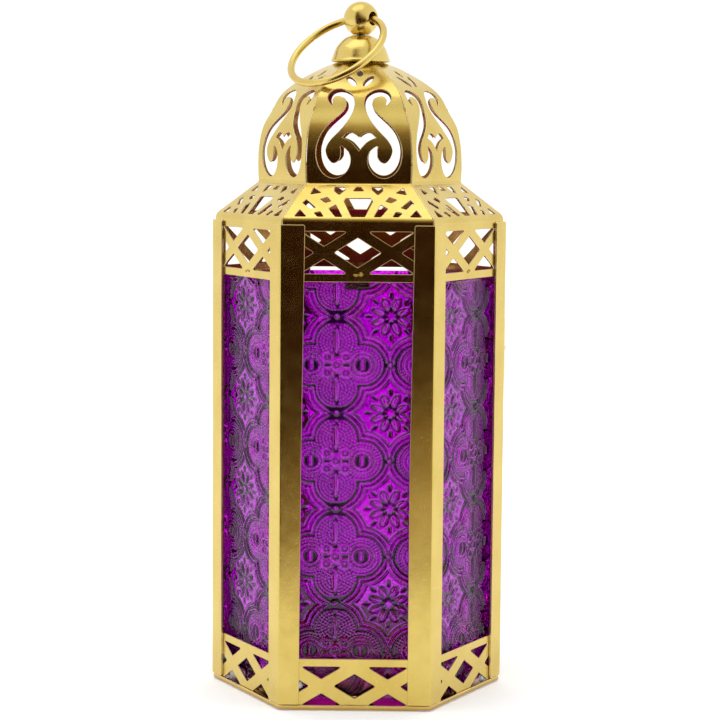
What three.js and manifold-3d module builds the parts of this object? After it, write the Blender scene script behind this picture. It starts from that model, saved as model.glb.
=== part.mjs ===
// Hexagonal candle lantern: folded sheet body, pressed glass panes, a hinged glass door,
// a pierced dome of six petals, and a finial ball that carries a loose hanging ring.
// Millimetres, +Z up. The origin is the centre of the underside; the front face looks along -Y.
import * as THREE from 'three';
import { mergeVertices } from 'three/addons/utils/BufferGeometryUtils.js';
import Module from 'manifold-3d';

const wasm = await Module();
wasm.setup();

// ---- driving dimensions ----------------------------------------------------------------------
const SIDE = 51; // side of the hexagon, and the radius to the outer edge of a corner post
const SHEET = 0.6; // thickness of all the folded sheet
const GAP = 0.3; // clearance kept between separate pieces

const POST_TOP = 162.2;
const POST_FLANGE = 7.2; // width of each wing of a corner post
const POST_BEND = 0.7; // how far from the corner the bend starts

const TRAY_RIM = 17.6; // top edge of the base tray's six upturned sides
const TRAY_SIDE_HALF = 24; // half the width of an upturned side
const RELIEF_RADIUS = 6.5; // round reliefs at the tray's corners
const RELIEF_CENTRE = 47; // their distance from the axis
const VENT_RADIUS = 1.5; // small air holes in the floor
const VENT_INSET = 6; // how far inside the sheet they sit

const GRILLE_PITCH = 22.2; // distance between two crossings of the grille bars
const WINDOW_HALF = 20; // half the width of the pierced band
const LOW_WINDOW = [1.7, 14.9]; // lower and upper edge of the lower grille's pierced band
const LOW_BAR = 4.7;
const HIGH_WINDOW = [146.2, 160.05];
const HIGH_BAR = 3.6;
const BAR_OVERRUN = 0.6; // how far the bars' crossings lie past the pierced band

const ROOF_FOOT = 143.5; // bottom edge of the upper grille
const EAVE = [43.27, 164.7]; // fold line of the eave: distance from the axis, height
const DOME_FOOT = [30.4, 175.4]; // fold line between skirt and petal
const DOME_CORNERS = [ // profile of the dome along its hips: radius, height
  [35.1, 175.4], [35.3, 181], [35, 187.5], [33.6, 194.2], [30.6, 199.7],
  [27.6, 205], [22.9, 209.1], [16, 213.1], [9.8, 215.8], [5, 216.8],
];
const DOME_STEPS = 10; // straight stretches that stand for the petal's curve

const GLASS_THICK = 3;
const GLASS_HALF = 21.6; // half the width of a fixed pane
const GLASS_HEIGHT = 140.7;
const GLASS_FOOT = { front: 3.4, front_right: 2.4, rear: 1.8, rear_left: 2.4, front_left: 3.8 };

const CLIP_THICK = 0.5;
const LOW_CLIP_HALF = 6.4; // half the width of the channel under a pane
const LOW_CLIP_LIP = 1.4; // how far its front lip reaches over the pane
const HIGH_CLIP_HALF = 4;
const HIGH_CLIP_RISE = 2.4; // how far its front leg stands up behind the grille
const CLIP_LAP = 6; // how far a lower clip reaches over the pane on the inside
const HIGH_CLIP_LAP = 3.4; // the same for an upper clip
const CLIP_FOOT = 4; // length of the lower clip's foot on the floor

const DOOR_HALF = 19.3;
const DOOR_Z = [15.9, 145.2];
const DOOR_OPEN_HALF = 15.2;
const DOOR_OPEN_Z = [20.4, 140.7];
const DOOR_GLASS_HALF = 16.6;
const DOOR_GLASS_Z = [18.2, 142.9];
const TAB_HEIGHT = 6;
const TAB_LAP = 2.4; // how far a tab reaches behind the door's pane
const TAB_Z = [42, 119];

const HINGE_X = 21; // hinge axis, across the door's face
const HINGE_RISE = 0.8; // how far the hinge axis stands in front of the door's outer face
const KNUCKLE_RADIUS = 1.3;
const KNUCKLE_LENGTH = 5;
const HINGE_Z = [43, 118]; // middle height of each hinge
const LEAF_REACH = 4.2; // how far a leaf reaches from the axis
const PIN_RADIUS = 0.6;

const BUTTON_X = -21.4;
const BUTTON_Z = 118;
const BUTTON_LENGTH = 22;
const BUTTON_WIDTH = 3.2;
const RIVET_RADIUS = 0.8;
const RIVET_HEAD = 1.2;

const CAP_BELL = [ // outside of the cap: radius, height
  [10, 216.6], [10.3, 217.1], [9.9, 217.8], [9.4, 219.2],
  [8.5, 221.4], [7.2, 223.1], [5.4, 224.7], [3.6, 225.5],
];
const CAP_WALL = 1;
const CAP_TOP = 225.6;
const BALL_Z = 231.25;
const BALL_RADIUS = 5.95;
const BALL_STEPS = 12;
const NECK_RADIUS = 3;
const SCREW_RADIUS = 1.5;
const SCREW_Z = [209, 228];
const EYE_RADIUS = 2.15; // cross hole of the ball
const EYE_ANGLE = -39; // direction of the hole's axis, degrees from +X
const WASHER_TOP = 215.1;
const WASHER_RADIUS = 6.4;
const NUT_ACROSS = 5.5;
const NUT_HEIGHT = 2.4;

const RING_RADIUS = 17.3; // to the middle of the wire
const WIRE_RADIUS = 1.25;
const RING_LEAN = 41.3; // the ring rests on the dome this many degrees below horizontal
const RING_LIFT = 0.5; // the ring's middle line passes this far above the hole's axis

const ROUND = 20; // sides of a turned piece

// ---- pierced ornament, drawn on the flat sheet: across the face, then up the sheet -------------
const SCROLL = [ // middle line of the right-hand scroll, with its width
  [9, 27.1, 0.4], [9.8, 29.3, 1.6], [8.7, 31.4, 2.6], [6.5, 31.9, 3.1], [3.8, 30.3, 2.8],
  [3, 27.9, 2.7], [3.4, 25.5, 2.7], [4.5, 23.4, 3.1], [6.5, 20.8, 3.8], [8.8, 18.3, 4],
  [10.7, 16, 3.8], [12, 13.3, 3.3], [12.4, 10.8, 3.3], [12.1, 8.2, 3.8], [10.9, 5.9, 4.3],
  [8.6, 4.8, 4.9], [6.3, 5.9, 4.8], [4.7, 7.7, 3.9], [4.5, 10, 2.7], [5.6, 12.7, 0.4],
];
const SCROLL_STEPS = 17;
const HEART = [ // right half, from the notch to the tip
  [0, 15.4], [1.1, 16.3], [2.5, 17], [3.9, 16.85], [5.6, 15.4],
  [4, 14.75], [2.6, 13.9], [1.4, 12.7], [0, 11],
];
const LEAF = { x: 2.9, s: 38, long: 3.4, wide: 1.15, tilt: 26 };
const BUD = { x: 0, s: 42.6, long: 2.1, wide: 1, tilt: 0 };
const OVAL_STEPS = 10;
const SKIRT_MIDDLE = [ // openings that lie across the middle of the face
  [[-2.2, 0.9], [2.2, 0.9], [4.8, 8.5], [4.2, 9.8], [-4.2, 9.8], [-4.8, 8.5]],
  [[-1.9, 13.3], [1.9, 13.3], [0.8, 15.4], [-0.8, 15.4]],
];
const SKIRT_SIDE = [ // openings that have a mirror image
  [[4.5, 13.9], [6.4, 11.4], [8, 13.3], [8, 15.3], [4.3, 15.3]],
  [[12.2, 12.5], [16, 11.6], [14.9, 15.1]],
  [[8.9, 8.4], [10.8, 7.6], [12.9, 9.2], [10.2, 10.4]],
  [[13.9, 5.3], [15.8, 4.6], [18.4, 7.5], [17.2, 9.2]],
  [[5.1, 0.9], [7.5, 0.9], [9.8, 4.9], [7.4, 6.8]],
  [[11.3, 0.9], [13.3, 0.9], [14.6, 2.8], [12.4, 3.4]],
  [[16.9, 0.9], [21, 0.9], [19.2, 4.4]],
];

// ---- worked out from the above ----------------------------------------------------------------
const COS30 = Math.cos(Math.PI / 6);
const TAN30 = Math.tan(Math.PI / 6);
const POST_OUT = SIDE * COS30; // outer face of the post wings
const PANEL_OUT = POST_OUT - SHEET - GAP; // outer face of the tray sides and upper grilles
const PANEL_IN = PANEL_OUT - SHEET;
const GLASS_OUT = PANEL_IN - CLIP_THICK - 2 * GAP; // room for a clip's lip in front of the pane
const GLASS_IN = GLASS_OUT - GLASS_THICK;
const DOOR_IN = POST_OUT + GAP;
const DOOR_OUT = DOOR_IN + SHEET;
const HINGE_OUT = DOOR_OUT + HINGE_RISE; // distance of the hinge axis from the lantern's axis
const FACES = { front: 270, front_right: 330, rear_right: 30, rear: 90, rear_left: 150, front_left: 210 };
const CORNERS = { right: 0, rear_right: 60, rear_left: 120, left: 180, front_left: 240, front_right: 300 };
const DOOR_FACE = 'rear_right';

const GOLD = { color: 0xc9ab52, roughness: 0.38, metalness: 0.9 };
const GOLD_DEEP = { color: 0xb08d3c, roughness: 0.35, metalness: 0.9 };
const VIOLET = { color: 0xc04be0, roughness: 0.12, metalness: 0, transparent: true, opacity: 0.5 };
const STEEL = { color: 0x8d8a84, roughness: 0.45, metalness: 0.9 };

const radians = (degrees) => (degrees * Math.PI) / 180;

// ---- small tools ------------------------------------------------------------------------------
function toSolid(geometry) {
  const bare = geometry.index ? geometry.toNonIndexed() : geometry.clone();
  bare.deleteAttribute('normal');
  bare.deleteAttribute('uv');
  const joined = mergeVertices(bare);
  return new wasm.Manifold(new wasm.Mesh({
    numProp: 3,
    vertProperties: new Float32Array(joined.attributes.position.array),
    triVerts: new Uint32Array(joined.index.array),
  }));
}

function toGeometry(manifold) {
  const mesh = manifold.getMesh();
  const geometry = new THREE.BufferGeometry();
  geometry.setAttribute('position', new THREE.BufferAttribute(new Float32Array(mesh.vertProperties), 3));
  geometry.setIndex(new THREE.BufferAttribute(new Uint32Array(mesh.triVerts), 1));
  geometry.computeVertexNormals();
  return geometry;
}

function joinAll(solids) {
  return solids.reduce((sum, next) => sum.add(next));
}

function outline(points) {
  return new THREE.Shape(points.map(([x, y]) => new THREE.Vector2(x, y)));
}

// a plate with its outline in the face's own x and z, between two distances from the axis
function plate(shape, inner, outer, curveSegments = 12) {
  const depth = outer - inner;
  const geometry = new THREE.ExtrudeGeometry(shape, { depth, bevelEnabled: false, curveSegments });
  geometry.rotateX(Math.PI / 2);
  geometry.translate(0, -inner, 0);
  return geometry;
}

function rectangle(x0, x1, z0, z1) {
  return outline([[x0, z0], [x1, z0], [x1, z1], [x0, z1]]);
}

// a strip with its section in (distance from the axis, height), as wide as 2 * half
function strip(section, half) {
  const geometry = new THREE.ExtrudeGeometry(outline(section), { depth: 2 * half, bevelEnabled: false });
  const across = new THREE.Matrix4().makeBasis(
    new THREE.Vector3(0, -1, 0), new THREE.Vector3(0, 0, 1), new THREE.Vector3(-1, 0, 0),
  );
  geometry.applyMatrix4(across);
  geometry.translate(half, 0, 0);
  return geometry;
}

// a flat outline in x and y, raised along z
function slab(shape, z0, z1, curveSegments = 12) {
  const depth = z1 - z0;
  const geometry = new THREE.ExtrudeGeometry(shape, { depth, bevelEnabled: false, curveSegments });
  geometry.translate(0, 0, z0);
  return geometry;
}

function upright(radius, x, y, z0, z1, sides = ROUND) {
  const geometry = new THREE.CylinderGeometry(radius, radius, z1 - z0, sides);
  geometry.rotateX(Math.PI / 2);
  geometry.translate(x, y, (z0 + z1) / 2);
  return geometry;
}

// a round bar that points out of the face
function stud(radius, x, z, inner, outer, sides = 16) {
  const geometry = new THREE.CylinderGeometry(radius, radius, outer - inner, sides);
  geometry.translate(x, -(inner + outer) / 2, z);
  return geometry;
}

// the points of a bent sheet's section, from its outer line
function bentSheet(line, thick) {
  const inner = line.map((point, i) => {
    const before = line[Math.max(i - 1, 0)];
    const after = line[Math.min(i + 1, line.length - 1)];
    const along = new THREE.Vector2(after[0] - before[0], after[1] - before[1]).normalize();
    return [point[0] - along.y * thick, point[1] + along.x * thick];
  });
  return [...line, ...inner.reverse()];
}

function oval({ x, s, long, wide, tilt }) {
  const points = [];
  const [sin, cos] = [Math.sin(radians(tilt)), Math.cos(radians(tilt))];
  for (let i = 0; i < OVAL_STEPS; i += 1) {
    const turn = (2 * Math.PI * i) / OVAL_STEPS;
    const up = long * Math.cos(turn);
    const side = wide * Math.sin(turn);
    points.push([x + up * sin + side * cos, s + up * cos - side * sin]);
  }
  return points;
}

// the outline of a stroke whose width changes along its middle line
function stroke(stations, steps) {
  const path = new THREE.CatmullRomCurve3(stations.map(([x, s, width]) => new THREE.Vector3(x, s, width)));
  const left = [];
  const right = [];
  for (let i = 0; i <= steps; i += 1) {
    const at = path.getPoint(i / steps);
    const along = path.getTangent(i / steps);
    const side = new THREE.Vector2(-along.y, along.x).normalize().multiplyScalar(at.z / 2);
    left.push([at.x + side.x, at.y + side.y]);
    right.push([at.x - side.x, at.y - side.y]);
  }
  return [...left, ...right.reverse()];
}

const mirrored = (points) => points.map(([x, y]) => [-x, y]).reverse();

// ---- base tray --------------------------------------------------------------------------------
// openings of a grille: a window with crossing bars left standing in it
function grilleOpenings([bottom, top], bar) {
  const middle = (bottom + top) / 2;
  const rise = (top - bottom) / 2 + BAR_OVERRUN;
  const slope = Math.atan2(rise, GRILLE_PITCH / 2);
  const window = rectangle(-WINDOW_HALF, WINDOW_HALF, bottom, top);
  const stick = rectangle(-GRILLE_PITCH, GRILLE_PITCH, -bar / 2, bar / 2);
  let openings = toSolid(plate(window, PANEL_IN - 1, PANEL_OUT + 1));
  for (const x of [-GRILLE_PITCH / 2, GRILLE_PITCH / 2]) {
    for (const lean of [-slope, slope]) {
      const beam = plate(stick, PANEL_IN - 2, PANEL_OUT + 2);
      beam.rotateY(-lean);
      beam.translate(x, 0, middle);
      openings = openings.subtract(toSolid(beam));
    }
  }
  return openings;
}

function baseTray() {
  const corners = [];
  const reach = PANEL_OUT / COS30;
  for (let i = 0; i < 6; i += 1) {
    corners.push([reach * Math.cos(radians(60 * i)), reach * Math.sin(radians(60 * i))]);
  }
  let tray = toSolid(slab(outline(corners), 0, SHEET));
  const flap = rectangle(-TRAY_SIDE_HALF, TRAY_SIDE_HALF, 0, TRAY_RIM);
  const side = toSolid(plate(flap, PANEL_IN, PANEL_OUT));
  const pierced = side.subtract(grilleOpenings(LOW_WINDOW, LOW_BAR));
  const vent = toSolid(upright(VENT_RADIUS, 0, -(PANEL_IN - VENT_INSET), -1, 2, 12));
  const relief = toSolid(upright(RELIEF_RADIUS, RELIEF_CENTRE, 0, -1, 1.5));
  for (let i = 0; i < 6; i += 1) {
    tray = tray.add(pierced.rotate([0, 0, 60 * i]));
  }
  for (let i = 0; i < 6; i += 1) {
    tray = tray.subtract(vent.rotate([0, 0, 60 * i]));
    tray = tray.subtract(relief.rotate([0, 0, 60 * i]));
  }
  return toGeometry(tray);
}

// ---- corner posts -----------------------------------------------------------------------------
function cornerPost() {
  const wing = (turn) => {
    const along = new THREE.Vector2(-0.5, turn * COS30);
    const out = new THREE.Vector2(COS30, turn * 0.5);
    const end = new THREE.Vector2(SIDE, 0).addScaledVector(along, POST_FLANGE);
    const bend = new THREE.Vector2(SIDE, 0).addScaledVector(along, POST_BEND);
    return { end, bend, inner: end.clone().addScaledVector(out, -SHEET) };
  };
  const right = wing(-1);
  const left = wing(1);
  const points = [
    right.end, right.bend, new THREE.Vector2(SIDE - POST_BEND / 4, 0), left.bend, left.end,
    left.inner, new THREE.Vector2(SIDE - SHEET / COS30, 0), right.inner,
  ];
  return slab(new THREE.Shape(points), 0, POST_TOP);
}

// ---- roof panels ------------------------------------------------------------------------------
const petalCurve = new THREE.SplineCurve(DOME_CORNERS.map(([r, z]) => new THREE.Vector2(r * COS30, z)));
const petalLength = petalCurve.getLength();
const petalHeight = (s) => petalCurve.getPointAt(Math.min(s / petalLength, 1)).y;

function roofSection() {
  const line = [
    [PANEL_OUT, ROOF_FOOT],
    [PANEL_OUT, EAVE[1] - 1.6],
    [PANEL_OUT - 0.3, EAVE[1] - 0.5],
    [PANEL_OUT - 1.1, EAVE[1] + 0.5],
    [DOME_FOOT[0] + 0.7, DOME_FOOT[1] - 0.5],
  ];
  for (let i = 0; i <= DOME_STEPS; i += 1) {
    const at = petalCurve.getPointAt(i / DOME_STEPS);
    line.push([at.x, at.y]);
  }
  return bentSheet(line, SHEET);
}

function petalOpenings() {
  const half = [stroke(SCROLL, SCROLL_STEPS), oval(LEAF)];
  const heart = [...HEART, ...mirrored(HEART.slice(1, -1))];
  const flat = [...half, ...half.map(mirrored), heart, oval(BUD)];
  return flat.map((points) => {
    const raised = points.map(([x, s]) => [x, petalHeight(s)]);
    return toSolid(plate(outline(raised), 1, SIDE));
  });
}

function skirtOpenings() {
  const up = new THREE.Vector3(0, EAVE[0] - DOME_FOOT[0], DOME_FOOT[1] - EAVE[1]).normalize();
  const across = new THREE.Vector3(1, 0, 0);
  const out = across.clone().cross(up);
  const place = new THREE.Matrix4().makeBasis(across, up, out).setPosition(0, -EAVE[0], EAVE[1]);
  const flat = [...SKIRT_MIDDLE, ...SKIRT_SIDE, ...SKIRT_SIDE.map(mirrored)];
  return flat.map((points) => {
    const geometry = slab(outline(points), -2, 1.5);
    geometry.applyMatrix4(place);
    return toSolid(geometry);
  });
}

function roofPanel() {
  const tip = GAP; // the hip edges stay half a gap from the planes between two panels
  const reach = 60;
  const spread = (reach - tip) * TAN30;
  const wedge = toSolid(slab(outline([[0, -tip], [-spread, -reach], [spread, -reach]]), 100, 250));
  let panel = toSolid(strip(roofSection(), SIDE)).intersect(wedge);
  panel = panel.subtract(grilleOpenings(HIGH_WINDOW, HIGH_BAR));
  for (const opening of [...petalOpenings(), ...skirtOpenings()]) {
    panel = panel.subtract(opening);
  }
  return toGeometry(panel);
}

// ---- glass and its clips ----------------------------------------------------------------------
const fixedPane = (foot) => plate(
  rectangle(-GLASS_HALF, GLASS_HALF, foot, foot + GLASS_HEIGHT), GLASS_IN, GLASS_OUT,
);

// a channel the pane stands in, with a foot on the floor and a high back
function lowClip(foot) {
  const front = PANEL_IN - GAP;
  const back = GLASS_IN - GAP;
  const floor = SHEET + GAP;
  const base = foot - GAP;
  const section = [
    [front, foot + LOW_CLIP_LIP], [front - CLIP_THICK, foot + LOW_CLIP_LIP], [front - CLIP_THICK, base],
    [back, base], [back, foot + CLIP_LAP], [back - CLIP_THICK, foot + CLIP_LAP],
    [back - CLIP_THICK, floor + CLIP_THICK], [back - CLIP_FOOT, floor + CLIP_THICK],
    [back - CLIP_FOOT, floor], [back, floor], [back, base - CLIP_THICK], [front, base - CLIP_THICK],
  ];
  return strip(section, LOW_CLIP_HALF);
}

// a step from the back of the grille over the pane's top edge
function highClip(foot) {
  const front = PANEL_IN - GAP;
  const back = GLASS_IN - GAP;
  const top = foot + GLASS_HEIGHT;
  const step = top + GAP;
  const section = [
    [front, step], [front, step + HIGH_CLIP_RISE], [front - CLIP_THICK, step + HIGH_CLIP_RISE],
    [front - CLIP_THICK, step + CLIP_THICK], [back - CLIP_THICK, step + CLIP_THICK],
    [back - CLIP_THICK, top - HIGH_CLIP_LAP], [back, top - HIGH_CLIP_LAP], [back, step],
  ];
  return strip(section, HIGH_CLIP_HALF);
}

// ---- door -------------------------------------------------------------------------------------
function doorFrame() {
  const shape = rectangle(-DOOR_HALF, DOOR_HALF, ...DOOR_Z);
  shape.holes.push(rectangle(-DOOR_OPEN_HALF, DOOR_OPEN_HALF, ...DOOR_OPEN_Z));
  return plate(shape, DOOR_IN, DOOR_OUT);
}

const doorPane = () => plate(
  rectangle(-DOOR_GLASS_HALF, DOOR_GLASS_HALF, ...DOOR_GLASS_Z), DOOR_IN - GAP - GLASS_THICK, DOOR_IN - GAP,
);

// a bent tab that grips the edge of the door's pane; side is -1 or 1
function doorTab(side, z) {
  const front = DOOR_IN - GAP;
  const back = front - GLASS_THICK - GAP;
  const near = side * (DOOR_GLASS_HALF + GAP);
  const far = near + side * (CLIP_THICK - 0.1);
  const points = [
    [near, -front], [far, -front], [far, -(back - CLIP_THICK)],
    [near - side * TAB_LAP, -(back - CLIP_THICK)], [near - side * TAB_LAP, -back], [near, -back],
  ];
  return slab(outline(points), z - TAB_HEIGHT / 2, z + TAB_HEIGHT / 2);
}

// the door carries the middle knuckle of each hinge; the post carries the two outer ones
function hingeKnuckle(z) {
  const half = KNUCKLE_LENGTH / 2;
  return toSolid(upright(KNUCKLE_RADIUS, HINGE_X, -HINGE_OUT, z - half, z + half, 20));
}

function hingeLeaf(z, onDoor) {
  const outerOffset = KNUCKLE_LENGTH + GAP;
  const half = 1.5 * KNUCKLE_LENGTH + GAP;
  const knuckles = onDoor ? [z] : [z - outerOffset, z + outerOffset];
  const foreign = onDoor ? [z - outerOffset, z + outerOffset] : [z];
  const inner = onDoor ? DOOR_OUT + GAP : POST_OUT + GAP;
  const ends = onDoor ? [HINGE_X - LEAF_REACH - 1, HINGE_X] : [HINGE_X, HINGE_X + LEAF_REACH];
  let leaf = toSolid(plate(rectangle(...ends, z - half, z + half), inner, inner + SHEET));
  const room = half / 3 + GAP;
  for (const at of foreign) {
    const space = upright(KNUCKLE_RADIUS + GAP, HINGE_X, -HINGE_OUT, at - room, at + room, 20);
    leaf = leaf.subtract(toSolid(space));
  }
  leaf = joinAll([leaf, ...knuckles.map(hingeKnuckle)]);
  const bore = upright(PIN_RADIUS + GAP, HINGE_X, -HINGE_OUT, z - 2 * half, z + 2 * half, 16);
  return toGeometry(leaf.subtract(toSolid(bore)));
}

function hingePin(z) {
  const top = z + 1.5 * KNUCKLE_LENGTH + 2 * GAP;
  const bottom = z - 1.5 * KNUCKLE_LENGTH - 2 * GAP;
  const shaft = toSolid(upright(PIN_RADIUS, HINGE_X, -HINGE_OUT, bottom - 0.6, top + 0.3, 16));
  const head = toSolid(upright(KNUCKLE_RADIUS, HINGE_X, -HINGE_OUT, top, top + 0.8, 16));
  return toGeometry(shaft.add(head));
}

// ---- turn button that holds the door shut -----------------------------------------------------
const BUTTON_IN = DOOR_OUT + GAP;

function turnButton() {
  const straight = BUTTON_LENGTH / 2 - BUTTON_WIDTH / 2;
  const shape = new THREE.Shape();
  shape.absarc(BUTTON_X, BUTTON_Z + straight, BUTTON_WIDTH / 2, 0, Math.PI, false);
  shape.absarc(BUTTON_X, BUTTON_Z - straight, BUTTON_WIDTH / 2, Math.PI, 2 * Math.PI, false);
  const hole = new THREE.Path();
  hole.absarc(BUTTON_X, BUTTON_Z, RIVET_RADIUS + GAP, 0, 2 * Math.PI, true);
  shape.holes.push(hole);
  return plate(shape, BUTTON_IN, BUTTON_IN + SHEET, 8);
}

function latchRivet() {
  const head = BUTTON_IN + SHEET + GAP;
  const tail = POST_OUT - SHEET - GAP;
  return toGeometry(joinAll([
    toSolid(stud(RIVET_RADIUS, BUTTON_X, BUTTON_Z, tail - 0.3, head + 0.1)),
    toSolid(stud(RIVET_HEAD, BUTTON_X, BUTTON_Z, head, head + 0.3)),
    toSolid(stud(RIVET_HEAD + 0.3, BUTTON_X, BUTTON_Z, tail - 0.5, tail)),
  ]));
}

function latchWasher() {
  const inner = POST_OUT + GAP;
  const disc = toSolid(stud(RIVET_HEAD + 0.4, BUTTON_X, BUTTON_Z, inner, inner + SHEET));
  const hole = toSolid(stud(RIVET_RADIUS + GAP, BUTTON_X, BUTTON_Z, inner - 1, inner + 2));
  return toGeometry(disc.subtract(hole));
}

// the right-hand post has a hole for the latch rivet
function latchPost() {
  const hole = stud(RIVET_RADIUS + GAP, BUTTON_X, BUTTON_Z, POST_OUT - 2, POST_OUT + 1);
  hole.rotateZ(faceTurn(DOOR_FACE));
  return toGeometry(toSolid(cornerPost()).subtract(toSolid(hole)));
}

// ---- crown ------------------------------------------------------------------------------------
function turned(profile, sides = ROUND) {
  const points = profile.map(([r, z]) => new THREE.Vector2(r, z));
  return new THREE.LatheGeometry(points, sides).rotateX(Math.PI / 2);
}

// the hole that leaves room for the finial's screw
const screwBore = (z0, z1) => toSolid(upright(SCREW_RADIUS + GAP, 0, 0, z0, z1, 16));

function cap() {
  const inside = CAP_BELL.map(([r, z]) => [r - CAP_WALL, z - CAP_WALL * 0.6]).slice(1, -1);
  const bore = SCREW_RADIUS + GAP;
  const profile = [
    [CAP_BELL[0][0] - CAP_WALL, CAP_BELL[0][1]], ...CAP_BELL, [bore, CAP_TOP], [bore, CAP_TOP - 1.4],
    ...inside.reverse(),
  ];
  profile.push(profile[0]);
  return turned(profile);
}

function finialBall() {
  const bottom = CAP_TOP + GAP;
  const profile = [[0, bottom], [NECK_RADIUS, bottom]];
  const start = Math.asin(NECK_RADIUS / BALL_RADIUS);
  for (let i = 0; i < BALL_STEPS; i += 1) {
    const turn = start + ((Math.PI - start) * i) / BALL_STEPS;
    profile.push([BALL_RADIUS * Math.sin(turn), BALL_Z - BALL_RADIUS * Math.cos(turn)]);
  }
  profile.push([0, BALL_Z + BALL_RADIUS]);
  const ball = toSolid(turned(profile));
  const eye = new THREE.CylinderGeometry(EYE_RADIUS, EYE_RADIUS, 3 * BALL_RADIUS, 20);
  eye.rotateZ(radians(EYE_ANGLE - 90));
  eye.translate(0, 0, BALL_Z);
  return toGeometry(ball.subtract(toSolid(eye)).subtract(screwBore(bottom - 1, SCREW_Z[1] + GAP)));
}

const finialScrew = () => upright(SCREW_RADIUS, 0, 0, ...SCREW_Z, 16);

function crownWasher() {
  const disc = toSolid(upright(WASHER_RADIUS, 0, 0, WASHER_TOP - 0.8, WASHER_TOP));
  return toGeometry(disc.subtract(screwBore(WASHER_TOP - 2, WASHER_TOP + 1)));
}

function crownNut() {
  const top = WASHER_TOP - 0.8 - GAP;
  const nut = toSolid(upright(NUT_ACROSS / 2 / COS30, 0, 0, top - NUT_HEIGHT, top, 6));
  return toGeometry(nut.subtract(screwBore(top - NUT_HEIGHT - 1, top + 1)));
}

function hangingRing() {
  const eye = radians(EYE_ANGLE);
  const axis = new THREE.Vector3(Math.cos(eye), Math.sin(eye), 0);
  const level = new THREE.Vector3(Math.sin(eye), -Math.cos(eye), 0);
  const lean = radians(RING_LEAN);
  const toCentre = level.multiplyScalar(Math.cos(lean)).add(new THREE.Vector3(0, 0, -Math.sin(lean)));
  const normal = axis.clone().cross(toCentre);
  const ring = new THREE.TorusGeometry(RING_RADIUS, WIRE_RADIUS, 8, 40);
  const centre = toCentre.clone().multiplyScalar(RING_RADIUS - RING_LIFT);
  ring.applyMatrix4(new THREE.Matrix4().makeBasis(axis, toCentre, normal).setPosition(centre));
  ring.translate(0, 0, BALL_Z);
  return ring;
}

// ---- assembly ---------------------------------------------------------------------------------
function faceTurn(name) {
  return radians(FACES[name] - FACES.front);
}

const lantern = new THREE.Group();

function addPiece(name, geometry, finish, turn = 0) {
  const mesh = new THREE.Mesh(geometry, new THREE.MeshStandardMaterial(finish));
  mesh.name = name;
  mesh.rotation.z = turn;
  lantern.add(mesh);
}

addPiece('base_tray', baseTray(), GOLD);

for (const [corner, angle] of Object.entries(CORNERS)) {
  if (corner !== 'right') {
    addPiece(`corner_post_${corner}`, cornerPost(), GOLD, radians(angle));
  }
}
addPiece('corner_post_right', latchPost(), GOLD);

for (const face of Object.keys(FACES)) {
  addPiece(`roof_panel_${face}`, roofPanel(), GOLD, faceTurn(face));
  if (face !== DOOR_FACE) {
    addPiece(`glass_pane_${face}`, fixedPane(GLASS_FOOT[face]), VIOLET, faceTurn(face));
    addPiece(`glass_clip_low_${face}`, lowClip(GLASS_FOOT[face]), GOLD_DEEP, faceTurn(face));
    addPiece(`glass_clip_high_${face}`, highClip(GLASS_FOOT[face]), GOLD_DEEP, faceTurn(face));
  }
}

const doorTurn = faceTurn(DOOR_FACE);
addPiece('door_frame', doorFrame(), GOLD, doorTurn);
addPiece('door_glass', doorPane(), VIOLET, doorTurn);
['low', 'high'].forEach((level, i) => {
  addPiece(`door_tab_hinge_side_${level}`, doorTab(1, TAB_Z[i]), GOLD_DEEP, doorTurn);
  addPiece(`door_tab_latch_side_${level}`, doorTab(-1, TAB_Z[i]), GOLD_DEEP, doorTurn);
  addPiece(`hinge_leaf_door_${level}`, hingeLeaf(HINGE_Z[i], true), GOLD_DEEP, doorTurn);
  addPiece(`hinge_leaf_post_${level}`, hingeLeaf(HINGE_Z[i], false), GOLD_DEEP, doorTurn);
  addPiece(`hinge_pin_${level}`, hingePin(HINGE_Z[i]), STEEL, doorTurn);
});
addPiece('turn_button', turnButton(), GOLD_DEEP, doorTurn);
addPiece('latch_rivet', latchRivet(), STEEL, doorTurn);
addPiece('latch_washer', latchWasher(), GOLD_DEEP, doorTurn);

addPiece('crown_cap', cap(), GOLD);
addPiece('finial_ball', finialBall(), GOLD);
addPiece('finial_screw', finialScrew(), STEEL);
addPiece('crown_washer', crownWasher(), STEEL);
addPiece('crown_nut', crownNut(), STEEL);
addPiece('hanging_ring', hangingRing(), GOLD);

export default lantern;
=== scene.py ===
"""Hexagonal candle lantern in satin gold sheet with violet pressed-glass panes.

Lengths below are in millimetres and turn into metres where a mesh is made. Most pieces are drawn
for the front face (x across, -Y outward, z up) and then turned about the lantern's axis.
"""
import math

import bpy
import numpy as np
from mathutils import Matrix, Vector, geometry


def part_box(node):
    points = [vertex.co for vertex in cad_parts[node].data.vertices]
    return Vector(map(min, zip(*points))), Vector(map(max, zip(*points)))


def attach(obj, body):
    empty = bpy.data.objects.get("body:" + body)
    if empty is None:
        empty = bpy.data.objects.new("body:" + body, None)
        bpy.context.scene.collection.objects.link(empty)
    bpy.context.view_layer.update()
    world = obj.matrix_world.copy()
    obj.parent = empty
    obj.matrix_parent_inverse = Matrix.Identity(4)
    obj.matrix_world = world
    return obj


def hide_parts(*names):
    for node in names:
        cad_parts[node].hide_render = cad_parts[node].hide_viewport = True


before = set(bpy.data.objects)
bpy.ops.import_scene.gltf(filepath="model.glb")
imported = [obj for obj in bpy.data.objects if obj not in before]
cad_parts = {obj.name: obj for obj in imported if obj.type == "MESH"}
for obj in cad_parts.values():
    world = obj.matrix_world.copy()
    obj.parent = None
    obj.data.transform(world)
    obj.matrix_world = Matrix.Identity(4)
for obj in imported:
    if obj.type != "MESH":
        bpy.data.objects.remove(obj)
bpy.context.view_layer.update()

MM = 0.001

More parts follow.
